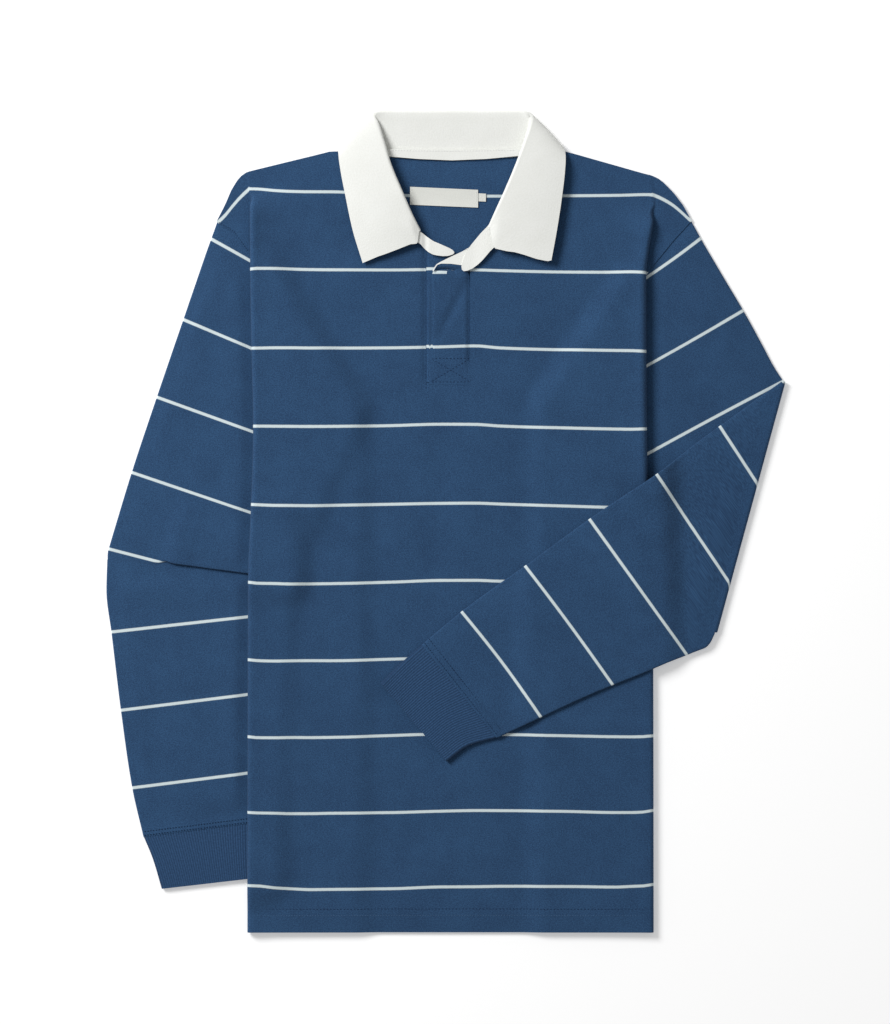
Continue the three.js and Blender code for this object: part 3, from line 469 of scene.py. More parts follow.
class Sheet:
    # Grids of middle points, given a wall on both sides
    def __init__(self, name, wall):
        self.name, self.wall = name, wall
        self.points, self.faces, self.uvs, self.relief = [], [], [], []
        self.count = 0

    def addGrid(self, grid, uv, closed=False, present=None, relief=None):
        rows, columns = grid.shape[:2]
        index = np.arange(rows * columns).reshape(rows, columns) + self.count
        index[np.isnan(grid[..., 0])] = -1
        self.points.append(np.nan_to_num(grid).reshape(-1, 3))
        self.relief.append(np.zeros(rows * columns) if relief is None else relief.reshape(-1))
        self.count += rows * columns
        if closed:
            index = np.concatenate([index, index[:, :1]], 1)
        corners = [(slice(0, -1), slice(0, -1)), (slice(0, -1), slice(1, None)),
                   (slice(1, None), slice(1, None)), (slice(1, None), slice(0, -1))]
        faces = np.stack([index[c] for c in corners], -1)
        faceUvs = np.stack([uv[c] for c in corners], -2)
        keep = faces.min(-1) >= 0
        if present is not None:
            keep &= present
        self.faces.append(faces[keep])
        self.uvs.append(faceUvs[keep])
        return self

    def build(self, material):
        points = np.concatenate(self.points)
        relief = np.concatenate(self.relief)
        faces, uvs = np.concatenate(self.faces), np.concatenate(self.uvs)
        a, b, c, d = (points[faces[:, k]] for k in range(4))
        across = np.cross(c - a, d - b)
        normals = np.zeros_like(points)
        for k in range(4):
            np.add.at(normals, faces[:, k], across)
        normals /= np.maximum(np.linalg.norm(normals, axis=1), 1e-12)[:, None]
        used, packed = np.unique(faces, return_inverse=True)
        faces = packed.reshape(faces.shape)
        half = self.wall / 2
        top = points[used] + normals[used] * (half + relief[used])[:, None]
        low = points[used] - normals[used] * half
        n = len(used)
        starts = faces.reshape(-1)
        ends = np.roll(faces, -1, axis=1).reshape(-1)
        startUv, endUv = uvs.reshape(-1, 2), np.roll(uvs, -1, axis=1).reshape(-1, 2)
        alone = ~np.isin(starts * n + ends, ends * n + starts)
        s, e = starts[alone], ends[alone]
        walls = np.stack([e, s, s + n, e + n], -1)
        wallUv = np.stack([endUv[alone], startUv[alone], startUv[alone], endUv[alone]], 1)
        allFaces = np.concatenate([faces, faces[:, ::-1] + n, walls])
        allUvs = np.concatenate([uvs, uvs[:, ::-1], wallUv]).reshape(-1, 2)
        mesh = makeMesh(self.name, np.concatenate([top, low]), allFaces.tolist(), allUvs, material)
        mesh.set_sharp_from_angle(angle=math.radians(50))
        made = place(self.name, mesh)
        print(f"{self.name}: {len(allFaces) * 2} triangles")
        return made


def runningLength(grid, closed=False):
    if closed:
        grid = np.concatenate([grid, grid[:, :1]], 1)
    steps = np.linalg.norm(np.diff(grid, axis=1), axis=2)
    return np.concatenate([np.zeros((len(grid), 1)), np.cumsum(np.nan_to_num(steps), 1)], 1)


# Path across a pleat: the cloth turns under, runs back, and turns out again
def pleatPath(turn, depth, outer, inner, steps):
    u, z, angle = [0.0], [0.0], [0.0]

    def bend(length, total, count):
        part = total / count
        chord = length / count if abs(total) < 1e-6 else 2 * length / total * math.sin(part / 2)
        for _ in range(count):
            heading = angle[-1] + part / 2
            u.append(u[-1] + chord * math.cos(heading))
            z.append(z[-1] + chord * math.sin(heading))
            angle.append(angle[-1] + part)

    bend(max(1.5, outer * turn), -turn, steps[0])
    if steps[1]:
        bend(depth, 0.0, steps[1])
        bend(max(1.0, inner * turn), turn, steps[2])
    reach = (max(u) + cloth["wall"] / 2) * min(1, turn)
    return np.array(u) - reach, np.array(z) - z[-1], np.array(angle)


steps = {
    "roll": 8, "run": 14, "turnOut": 5, "cap": 10,
    "hemToPlacket": 128, "placketToBase": 19, "toPleat": 7, "pleat": 32,
    "head": 8, "armFold": 9, "collarRows": 150, "collarTurn": 13, "stand": 9, "leaf": 27,
}


# One side of a row: from the fold under the panel to the side seam, or out to the armhole
def sideSection(side, row, front):
    away = outward[side]
    inset = 0.0 if front else cloth["pitch"]
    pleated = row["pleat"] >= 0
    y = row[side]
    fold = float(edgeAt(side, y))
    counts = (steps["roll"], steps["run"] if pleated else 0, steps["turnOut"])
    u, z, angle = pleatPath(row["turn"], row["depth"], float(rollAt(side, y)), body["innerRoll"], counts)
    rest = layerHeight(1)
    if not pleated:
        rest = layerHeight(0) + float(underSleeves(fold - away * body["outerRoll"], y))
    x = fold + away * (u + inset * np.sin(angle))
    climb = max(0.0, row["pleat"]) / (len(body["pleat"]) - 1)
    path = np.stack([x, y - 0.35 * np.maximum(u, 0) * climb ** 4, rest + z - inset * np.cos(angle)], -1)
    blank = np.full((steps["turnOut"] + steps["cap"], 3), np.nan)
    if not pleated:
        hidden = np.array(armhole[side]["hidden"])
        seam = fold - away * body["sideFlap"]
        if y > hidden[-1][1]:
            seam = np.interp(y, hidden[::-1, 1], hidden[::-1, 0])
        share = np.linspace(0, 1, steps["run"] + 1)[1:]
        flapX = lerp(path[-1, 0], seam, share)
        level = layerHeight(0 if front else 1) + underSleeves(flapX, np.full_like(flapX, y))
        flap = np.stack([flapX, np.full_like(flapX, y), level], -1)
        return path[0], np.concatenate([path[1:], flap, blank])
    target = alongLine(armhole[side]["shown"], 1 - climb)
    cap = np.array(shoulderCap[side])
    share = np.linspace(0, 1, steps["cap"] + 1)[1:]
    belly = (alongLine(cap, share) - lerp(cap[0], cap[-1], share[:, None])) * climb ** 2
    plan = lerp(path[-1, :2], target, share[:, None]) + belly
    level = np.full((len(share), 1), layerHeight(1 if front else 0))
    return path[0], np.concatenate([path[1:], np.concatenate([plan, level], 1)])


def bodyRowList():
    low = np.concatenate([
        np.linspace(body["hemY"], placket["bottom"], steps["hemToPlacket"]),
        np.linspace(placket["bottom"], body["baseY"], steps["placketToBase"])[1:],
    ])
    rows = [{"right": y, "left": y, "turn": math.pi, "depth": 0, "pleat": -1.0} for y in low]
    for i in range(1, steps["toPleat"]):
        share = i / steps["toPleat"]
        rows.append({"right": lerp(body["baseY"], body["pleat"][0]["right"], share),
                     "left": lerp(body["baseY"], body["pleat"][0]["left"], share), "between": share})
    index = np.arange(len(body["pleat"]))
    for place in np.linspace(0, index[-1], steps["pleat"]):
        row = {key: float(np.interp(place, index, column(body["pleat"], key)))
               for key in ("right", "left", "turn", "depth")}
        rows.append({**row, "pleat": float(place)})
    return rows


panelColumns = np.concatenate([
    np.linspace(-169, -24, 38),
    [-22, -20.4, -19.2, -18.3, placket["right"]],
    np.linspace(placket["right"], placket["left"], 9)[1:-1],
    np.linspace(placket["left"], 176, 41),
])


def bodyPanel(front, top):
    rows = bodyRowList()
    firstPleat = next(i for i, row in enumerate(rows) if row.get("pleat", -1) >= 0)
    sections = {}
    for side in outward:
        made = [None if "between" in row else sideSection(side, row, front) for row in rows]
        before, after = made[firstPleat - steps["toPleat"]], made[firstPleat]
        for i, row in enumerate(rows):
            if "between" in row:
                made[i] = tuple(lerp(a, b, row["between"]) for a, b in zip(before, after))
        sections[side] = made
    topX, topY = np.array(top).T
    peak = body["pleat"][-1]
    count = 1 if front else 0
    grid = []
    for i, row in enumerate(rows):
        startR, pointsR = sections["right"][i]
        startL, pointsL = sections["left"][i]
        besides = (startR[0] + panelColumns[0]) / 2, (startL[0] + panelColumns[-1]) / 2
        x = np.concatenate([besides[:1], panelColumns, besides[1:]])
        y = np.full_like(x, row["right"])
        if row["right"] > body["baseY"]:
            across = (x - startR[0]) / (startL[0] - startR[0])
            climbR = (row["right"] - body["baseY"]) / (peak["right"] - body["baseY"])
            climbL = (row["left"] - body["baseY"]) / (peak["left"] - body["baseY"])
            y = lerp(body["baseY"], np.interp(x, topX, topY), lerp(climbR, climbL, across))
        z = panelHeight(x, y, count)
        for start in (startR, startL):
            gap = start[2] - float(panelHeight(start[0], start[1], count))
            z = z + gap * np.exp(-np.abs(x - start[0]) / cloth["settleRun"])
        if front:
            z = z + frontLoft(x, y)
        middle = np.stack([x, y, z], -1)
        grid.append(np.concatenate([pointsR[::-1], startR[None], middle, startL[None], pointsL]))
    return np.array(grid)


def clothUv(grid, stripeCount, closed=False):
    u = runningLength(grid, closed)
    if not closed:
        centre = grid.shape[1] // 2
        u = u - u[:, centre:centre + 1] + grid[:, centre:centre + 1, 0]
    v = stripeCount * bodyStripes["spacing"]
    if closed:
        v = np.concatenate([v, v[:, :1]], 1)
    return np.stack([np.nan_to_num(u), np.nan_to_num(v)], -1)


def makePanel(name, front, top, material):
    grid = bodyPanel(front, top)
    filled = np.nan_to_num(grid)
    uv = clothUv(grid, bodyStripe(filled[..., 0], filled[..., 1]))
    present = np.ones((len(grid) - 1, grid.shape[1] - 1), bool)
    if front:
        middleX = (filled[:-1, :-1, 0] + filled[1:, 1:, 0]) / 2
        above = filled[:-1, :-1, 1] > placket["bottom"] - 0.01
        onTop = np.zeros(grid.shape[1] - 1, bool)
        lead = steps["roll"] + steps["run"] + steps["turnOut"] + steps["cap"] + 2
        onTop[lead:lead + len(panelColumns)] = True
        present &= ~(above & onTop & (middleX > placket["right"]) & (middleX < placket["left"]))
    return Sheet(name, cloth["wall"]).addGrid(grid, uv, present=present).build(material)


# Sleeves, each a flattened tube

def ringShape(half, top, bottom):
    turn = np.pi * np.arange(1, 6) / 6
    flat = np.zeros(5)
    v = np.concatenate([top, flat + 1, bottom[::-1], flat])
    side = np.concatenate([0 * top, half * np.sin(turn), 0 * bottom, -half * np.sin(turn)])
    offset = np.concatenate([0 * top + half, half * np.cos(turn), 0 * bottom - half, -half * np.cos(turn)])
    return v, side, offset


def stationRows(rows, spacing):
    middle = np.array([[(row["ox"] + row["ix"]) / 2, (row["oy"] + row["iy"]) / 2] for row in rows])
    along = np.concatenate([[0], np.cumsum(np.linalg.norm(np.diff(middle, axis=0), axis=1))])
    at = np.linspace(0, along[-1], max(2, round(along[-1] / spacing)))
    read = {key: flowing(along, column(rows, key), at) for key in rows[0]}
    return [{key: read[key][i] for key in read} for i in range(len(at))]


def headRows(side, first):
    seam = np.array(armhole[side]["shown"][:3] + armhole[side]["hidden"]) + armhole[side]["clear"]
    rows = []
    for t in np.linspace(0, 1, steps["head"], endpoint=False):
        ends = {"ox": seam[0][0], "oy": seam[0][1], "ix": seam[-1][0], "iy": seam[-1][1]}
        rows.append({"t": t, "seam": seam, **{key: lerp(ends[key], first[key], t) for key in ends}})
    return rows


def ringPlan(row, half, wall, v, side):
    outer, inner = np.array([row["ox"], row["oy"]]), np.array([row["ix"], row["iy"]])
    width = np.linalg.norm(inner - outer)
    inset = (half + wall / 2) / width
    share = inset + v * (1 - 2 * inset)
    plan = lerp(outer, inner, share[:, None])
    if "seam" in row:
        seam = row["seam"]
        belly = alongLine(seam, share) - lerp(seam[0], seam[-1], share[:, None])
        plan = plan + belly * (1 - row["t"])
    return plan + (inner - outer) / width * side[:, None], width


sleeveHalf = cloth["pitch"] / 2
sleeveCentre = layerHeight(0) + sleeveHalf
tuckCounts = (5, 7, 5)
tuckCount = sum(tuckCounts) + 1
tuckSpacing = 73.0  # of the stripes along the cloth inside the tuck

armCreases = {
    "right": named("line width height", [
        [[[-225, 225], [-236, 190], [-222, 150]], 9, 0.5], [[[-200, 225], [-214, 160], [-206, 100]], 8, -0.5],
        [[[-252, 120], [-262, 70], [-250, 20]], 11, 0.5], [[[-190, 60], [-216, 30], [-262, 10]], 9, -0.45],
        [[[-186, -12], [-230, -8], [-280, 2]], 8, 0.6], [[[-196, -78], [-240, -86], [-296, -80]], 9, -0.4],
        [[[-290, -46], [-274, -46], [-250, -50]], 7, -1.7], [[[-300, -60], [-272, -61], [-240, -66]], 9, 1.2],
        [[[-230, -110], [-238, -170], [-228, -250]], 13, 0.55],
        [[[-270, -130], [-268, -200], [-258, -262]], 9, -0.4],
        [[[-196, -130], [-200, -200], [-192, -262]], 10, 0.4],
    ]),
    "left": named("line width height", [
        [[[232, 232], [240, 200], [236, 160]], 10, 0.5], [[[204, 205], [212, 170], [230, 130]], 8, -0.5],
        [[[262, 196], [258, 160], [244, 126]], 9, 0.4],
    ]),
    "forearm": named("line width height", [
        [[[2, -118], [11, -136], [22, -152]], 10, -0.9], [[[30, -98], [70, -84], [120, -70]], 13, 0.6],
        [[[60, -120], [110, -112], [160, -100]], 10, -0.5], [[[120, -30], [170, -20], [214, 10]], 12, 0.5],
        [[[190, -60], [206, -20], [236, 14]], 9, -0.55], [[[226, -90], [244, -40], [262, 10]], 12, 0.6],
        [[[150, -130], [186, -110], [224, -96]], 9, -0.4], [[[250, 70], [276, 86], [296, 100]], 8, -0.4],
    ]),
}


armShape = {
    "height": 0.7, "lowest": -0.5, "sideRun": 18, "waves": 0.7, "waveShift": [40, -25],
    "headSink": 0.8, "headRun": 0.4, "besideBody": 13, "swell": 2.1, "swellRun": 30, "besideTuck": 3, "tuckRun": 14,
    "cuffY": -277, "cuffRun": 26, "rowSpacing": 4.5, "forearmSpacing": 4.2,
}


# 1 in the middle of a sleeve, 0 at its two sides
def insideArm(v, width):
    return ease(np.minimum(v, 1 - v) * width / armShape["sideRun"])


def armLoft(name, x, y, v, width):
    waved = unevenness(x + armShape["waveShift"][0], y + armShape["waveShift"][1])
    height = armShape["height"] + creased(armCreases[name], x, y) + armShape["waves"] * waved
    return np.maximum(height, armShape["lowest"]) * insideArm(v, width)


# A sleeve lies lower where its seam goes under the body
def headSink(row):
    return armShape["headSink"] * (1 - ease(row["t"] / armShape["headRun"])) if "seam" in row else 0.0


def tuckPaths(v):
    at = column(rightSleeve["tuckAcross"], "v")
    turn = np.interp(v, at, column(rightSleeve["tuckAcross"], "turn"))
    depth = np.interp(v, at, column(rightSleeve["tuckAcross"], "depth"))
    made = [pleatPath(t, d, sleeveHalf, sleeveHalf, tuckCounts) for t, d in zip(turn, depth)]
    return np.array([m[0] for m in made]), np.array([m[1] for m in made])


# The sewn-down edge of a sleeve stands above its cuff
def cuffSeam(fromEnd):
    return 1 - ease((fromEnd - 4.2) / 2.2) - 0.25 * bump((fromEnd - 5.2) / 1.2)


def fromRightEnd(x, y):
    end = rightSleeve["lower"][-1]
    return y - np.interp(x, [end["ox"], end["ix"]], [end["oy"], end["iy"]])


def fromForearmEnd(x, y):
    end, run = leftSleeve["lower"][-1], leftSleeve["endRun"]
    return ((x - end["ox"]) * run[0] + (y - end["oy"]) * run[1]) / leftSleeve["endLength"]


def rightSleeveGrid():
    v, side, offset = ringShape(sleeveHalf, np.linspace(0, 1, 46), np.linspace(0, 1, 24))
    tuckU, tuckZ = tuckPaths(v)
    tuckRun = np.cumsum(np.hypot(np.diff(tuckU, axis=1, prepend=tuckU[:, :1]),
                                 np.diff(tuckZ, axis=1, prepend=tuckZ[:, :1])), 1)
    top = np.clip((offset / sleeveHalf + 1) / 2, 0, 1)
    upper, lower = (stationRows(rightSleeve[part], armShape["rowSpacing"]) for part in ("upper", "lower"))
    rows = [(row, "rightUpper") for row in headRows("right", rightSleeve["upper"][0]) + upper]
    outer, inner = rightSleeve["tuckOuter"], rightSleeve["tuckInner"]
    line = {"ox": outer[0], "oy": outer[1], "ix": inner[0], "iy": inner[1]}
    rows += [({**line, "step": step}, "rightLower") for step in range(tuckCount)]
    rows += [(row, "rightLower") for row in lower]
    grid, counts = [], []
    for row, part in rows:
        plan, width = ringPlan(row, sleeveHalf, cloth["wall"], v, side)
        x, y = plan.T
        z = sleeveCentre + offset
        if "step" in row:
            step = row["step"]
            done = step / (tuckCount - 1)
            flat = 0.3 + done * 3.4
            upperCount = sleeveStripe("rightUpper", x, y - tuckU[:, 0])
            lowerCount = sleeveStripe("rightLower", x, y - tuckU[:, -1]) - tuckRun[:, -1] / tuckSpacing
            count = lerp(upperCount, lowerCount, ease(done * 1.4 - 0.4))
            counts.append(count + tuckRun[:, step] / tuckSpacing)
            y = y - lerp(flat, tuckU[:, step], top)
            z = z + top * tuckZ[:, step]
        else:
            counts.append(sleeveStripe(part, x, y))
            z = z + top * (row.get("rise", 0.0) * tuckZ[:, 0] - headSink(row) + cuffSeam(fromRightEnd(x, y)))
            fromTuck = np.abs((y - np.interp(x, [outer[0], inner[0]], [outer[1], inner[1]])))
            fade = ease((fromTuck - armShape["besideTuck"]) / armShape["tuckRun"])
            fade = fade * ease(row.get("t", 1.0)) * ease((y - armShape["cuffY"]) / armShape["cuffRun"])
            beside = edgeAt("right", y) - x
            swell = np.exp(-np.maximum(beside, 0) / armShape["swellRun"]) * insideArm(v, width)
            loft = armLoft("right", x, y, v, width) + armShape["swell"] * swell
            z = z + top * loft * ease((beside - 0.5) / armShape["besideBody"]) * fade
        grid.append(np.stack([x, y, z], -1))
    return np.array(grid), np.array(counts)


# The side folds stand higher than the panel beside them
def edgeRise(x, y):
    rise = np.zeros(np.shape(x))
    for side in outward:
        extra = 2 * (rollAt(side, y) - body["flatRoll"])
        rise = np.maximum(rise, extra * np.exp(-np.abs(x - edgeAt(side, y)) / cloth["settleRun"]))
    return rise


# The forearm bridges the body's hollows: it follows the highest point nearby
def overBody(x, y):
    highest = np.zeros(np.shape(x))
    near = (-12, 0, 12)
    for dx, dy in [(dx, dy) for dx in near for dy in near]:
        inBody = np.minimum(x + dx, edgeAt("left", y + dy) - body["outerRoll"])
        height = panelHeight(inBody, y + dy, 2) + frontLoft(inBody, y + dy) + edgeRise(inBody, y + dy)
        highest = np.maximum(highest, height)
    beyond = x - edgeAt("left", y)
    return lerp(highest, layerHeight(2), ease((beyond - cloth["settleStart"]) / cloth["settleRun"]))


def leftSleeveGrid():
    v, side, offset = ringShape(sleeveHalf, np.linspace(0, 1, 50), np.linspace(0, 1, 50))
    fold = leftSleeve["fold"]
    run = np.array([fold["ix"] - fold["ox"], fold["iy"] - fold["oy"]])
    out = np.array([-run[1], run[0]]) / np.linalg.norm(run)
    upper = headRows("left", leftSleeve["upper"][0]) + stationRows(leftSleeve["upper"], armShape["rowSpacing"])
    rows = [(row, "leftUpper", 0.0) for row in upper]
    rows += [(fold, "leftFold", angle) for angle in np.linspace(0, math.pi, steps["armFold"])]
    rows += [(row, "leftLower", math.pi) for row in stationRows(leftSleeve["lower"], armShape["forearmSpacing"])]
    grid, counts = [], []
    top = np.clip((offset / sleeveHalf + 1) / 2, 0, 1)
    foldOuter = np.array([fold["ox"], fold["oy"]])
    for row, part, angle in rows:
        plan, width = ringPlan(row, sleeveHalf, cloth["wall"], v, side)
        x, y = plan.T
        if part == "leftFold":
            ahead, behind = sleeveStripe("leftUpper", x, y), sleeveStripe("leftLower", x, y)
            counts.append(lerp(ahead, behind, angle / math.pi))
        else:
            counts.append(sleeveStripe(part, x, y))
        radius = cloth["pitch"] - offset
        reach = radius * math.sin(angle)
        z = sleeveCentre + cloth["pitch"] - radius * math.cos(angle) - top * headSink(row)
        fromFold = np.abs((x - foldOuter[0]) * out[0] + (y - foldOuter[1]) * out[1])
        softly = ease((fromFold - 2) / 16)
        if angle > math.pi / 2:
            z = z + overBody(x, y) - layerHeight(2)
            if part == "leftLower":
                toCuff = np.maximum(ease((np.hypot(x - 16, y + 153) - 36) / 20), 0.6)
                loft = armLoft("forearm", x, y, v, width) * softly * toCuff
                z = z + (1 - top) * (loft + cuffSeam(fromForearmEnd(x, y)))
        elif part == "leftUpper":
            beside = ease((x - edgeAt("left", y) - 4) / 18)
            z = z + top * armLoft("left", x, y, v, width) * softly * ease(row.get("t", 1.0)) * beside
        grid.append(np.stack([x + out[0] * reach, y + out[1] * reach, z], -1))
    return np.array(grid), np.array(counts)


def makeTube(name, made, wall, material):
    grid, counts = made[0][::-1], made[1][::-1]
    uv = clothUv(grid, counts, closed=True)
    relief = None
    if len(made) > 2:
        relief = made[2][::-1]
        uv[..., 0] = made[3]
    return Sheet(name, wall).addGrid(grid, uv, closed=True, relief=relief).build(material)


def cuffGrid(rows, level):
    fine = np.linspace(0, 1, cuffs["ribs"] * 4 + 1)
    stations = stationRows(rows, 4)
    grid, relief = [], []
    for i, row in enumerate(stations):
        half = lerp(cuffs["half"], cuffs["endHalf"], ease(i * 1.3 / (len(stations) - 1)))
        v, side, offset = ringShape(half, fine, fine)
        plan, _ = ringPlan(row, half, cuffs["wall"], v, side)
        x, y = plan.T
        grid.append(np.stack([x, y, level(x, y) + half + offset], -1))
        relief.append(cuffs["relief"] * (0.5 - 0.5 * np.cos(2 * math.pi * v * cuffs["ribs"])))
    grid = np.array(grid)
    counts = np.cumsum(np.ones(grid.shape[:2]), 0) * 0.07
    around = np.concatenate([v * cuffs["ribs"], [0.0]]) * cuffs["pitch"]
    return grid, counts, np.array(relief), around


# Collar

collarStations = named("sx sy sz cx cy cz ex ey ez under", [
    [-24.4, 261.4, 3.6, -22.6, 267.6, 7.6, -75.6, 237.8, 7.4, 0],
    [-36.8, 269.6, 3.0, -29.8, 281.5, 10.5, -84.9, 268.6, 8.2, 0],
    [-56.1, 289.8, 2.8, -40.2, 305.4, 12, -91.3, 299, 8.6, 0],
    [-69, 312.8, 4.0, -50.4, 330.3, 12, -95.9, 322.9, 8.6, 0],
    [-78.2, 329.4, 4.3, -56.7, 352.4, 11, -97.6, 335.8, 8.2, 0.1],
    [-82.6, 337.2, 4.4, -61.6, 367, 9.8, -97.8, 341.4, 6.8, 0.35],
    [-84.6, 342.4, 4.4, -65.6, 374.6, 8.2, -96.4, 346, 3.2, 0.6],
    [-80.5, 342.4, 4.0, -63, 377.2, 6.6, -92.6, 344, 0.9, 0.85],
    [-72.7, 339.4, 3.6, -54, 377.6, 5, -80, 330.3, 0.8, 1],
    [-48.8, 336.6, 3.2, -36.8, 377.6, 4.4, -55.2, 327, 0.8, 1],
    [6.4, 334.6, 3.0, 6.4, 377.7, 4.2, 6.4, 325.7, 0.8, 1],
    [60.7, 336.6, 3.2, 50.6, 377.6, 4.4, 66.2, 327, 0.8, 1],
    [85.6, 339.4, 3.6, 67, 377.6, 5, 91, 331.5, 0.8, 1],
    [92.6, 342.4, 4.0, 74.2, 377.1, 6.6, 104.6, 344, 0.9, 0.85],
    [96.8, 342.4, 4.4, 78.6, 373, 8.2, 108.2, 344.4, 3.2, 0.6],
    [94.8, 337.2, 4.4, 77.6, 365.5, 10.2, 110, 340, 7.8, 0.35],
    [90.2, 329.4, 4.3, 73.8, 352.4, 11.8, 110.6, 333, 10.6, 0.1],
    [81, 312.8, 4.0, 67, 333, 12.8, 110, 322, 12, 0],
    [67.2, 289.8, 2.8, 56.8, 308.2, 12.8, 107, 296.2, 12.2, 0],
    [53.4, 272.3, 3.0, 46, 284.3, 11.6, 102.8, 268.6, 11.8, 0],
    [44.6, 259, 3.6, 40, 271, 8.4, 97.6, 240.1, 10.8, 0],
])
collarShape = {
    "wall": 1.2, "cornerX": 0.75, "cornerY": 0.66, "sideRoll": 1.8, "backRoll": 2.4, "leafLoft": 0.9,
    "belly": {-1: 5.5, 1: 0.8}, "bellyWay": [0.65, 0.76], "cutReach": 38.0,
}
# How far the front end of a leaf dips below a straight line, along the leaf from its crest
frontCut = {
    -1: ([0, 0.025, 0.08, 0.15, 0.25, 0.41, 0.6, 0.73, 1], [0, 10.2, 9, 7.3, 6.5, 5.2, 3.4, 1.9, 0]),
    1: ([0, 0.04, 0.08, 0.28, 0.4, 0.55, 0.76, 0.94, 1], [0, 13, 16.6, 13.2, 10.4, 8.3, 6, 2.6, 0]),
}


def collarGrid():
    rows = collarStations
    plan = np.array([[row["sx"] + row["cx"] + row["ex"], row["sy"] + row["cy"] + row["ey"]] for row in rows]) / 3
    along = np.concatenate([[0], np.cumsum(np.linalg.norm(np.diff(plan, axis=0), axis=1))])
    at = np.linspace(0, along[-1], steps["collarRows"])
    read = {key: flowing(along, column(rows, key), at) for key in rows[0]}
    turns = np.linspace(-1, 1, steps["collarTurn"]) * math.pi / 2
    grid = []
    for i in range(len(at)):
        p = {key: read[key][i] for key in read}
        underTurn = math.pi * p["under"]
        radius = lerp(collarShape["sideRoll"], collarShape["backRoll"], p["under"])
        lean = math.sin(underTurn)
        up = np.array([math.copysign(1, p["cx"]) * collarShape["cornerX"] * lean,
                       collarShape["cornerY"] * lean, math.cos(underTurn)])
        crest = np.array([p["cx"], p["cy"], p["cz"]])
        seam, edge = np.array([p["sx"], p["sy"], p["sz"]]), np.array([p["ex"], p["ey"], p["ez"]])
        out = crest - (seam + edge) / 2
        out[2] = 0
        out /= np.linalg.norm(out)
        turned = crest + radius * ((np.cos(turns)[:, None] - 1) * out + np.sin(turns)[:, None] * up)
        stand = lerp(seam, turned[0], np.linspace(0, 1, steps["stand"])[:-1, None])
        share = (np.linspace(0, 1, steps["leaf"])[1:, None]) ** 1.5
        leaf = lerp(turned[-1], edge, share)
        hand = -1 if p["cx"] < 0 else 1
        corner = np.array(collarShape["bellyWay"]) * [hand, 1]
        leaf[:, :2] += collarShape["belly"][hand] * math.sin(underTurn) * np.sin(math.pi * share) * corner
        fromEnd = min(at[i], at[-1] - at[i]) / collarShape["cutReach"]
        leaf[:, 1] -= max(0.0, 1 - fromEnd) ** 1.6 * np.interp(share[:, 0], *frontCut[hand])
        leaf[:, 2] += collarShape["leafLoft"] * np.sin(math.pi * share[:, 0]) * (1 - min(1, p["under"] * 2))
        grid.append(np.concatenate([stand, turned, leaf]))
    return np.array(grid)


def plainUv(grid):
    v = np.cumsum(np.concatenate([np.zeros((1, grid.shape[1])),
                                  np.linalg.norm(np.diff(grid, axis=0), axis=2)]), 0)
    return np.stack([runningLength(grid), v], -1)


def makeStrip(name, railA, railB, wall, level, material, spacing=3.0, stripes=0.0):
    railA, railB = np.array(railA, float), np.array(railB, float)
    length = np.linalg.norm(np.diff(railA, axis=0), axis=1).sum()
    share = np.linspace(0, 1, max(2, round(length / spacing)))
    a, b = alongLine(railA, share), alongLine(railB, share)
    width = np.linalg.norm(a - b, axis=1).max()
    across = np.linspace(0, 1, max(2, round(width / spacing)))
    plan = lerp(a[:, None], b[:, None], across[None, :, None])
    x, y = plan[..., 0], plan[..., 1]
    grid = np.concatenate([plan, level(x, y)[..., None]], 2)
    uv = plainUv(grid)
    if stripes:
        shift = stripes(x, y) if callable(stripes) else stripes
        uv = np.stack([x, bodyStripe(x, y - shift) * bodyStripes["spacing"]], -1)
    return Sheet(name, wall).addGrid(grid, uv).build(material)


# Materials

class Value:
    # A socket that takes part in sums
    def __init__(self, shader, socket):
        self.shader, self.socket = shader, socket

    def sum(self, operation, first, second):
        return self.shader.add("ShaderNodeMath", {"operation": operation}, {0: first, 1: second})

    def __add__(self, other):
        return self.sum("ADD", self, other)

    __radd__ = __add__

    def __sub__(self, other):
        return self.sum("SUBTRACT", self, other)

    def __rsub__(self, other):
        return self.sum("SUBTRACT", other, self)

    def __mul__(self, other):
        return self.sum("MULTIPLY", self, other)

    __rmul__ = __mul__

    def __truediv__(self, other):
        return self.sum("DIVIDE", self, other)


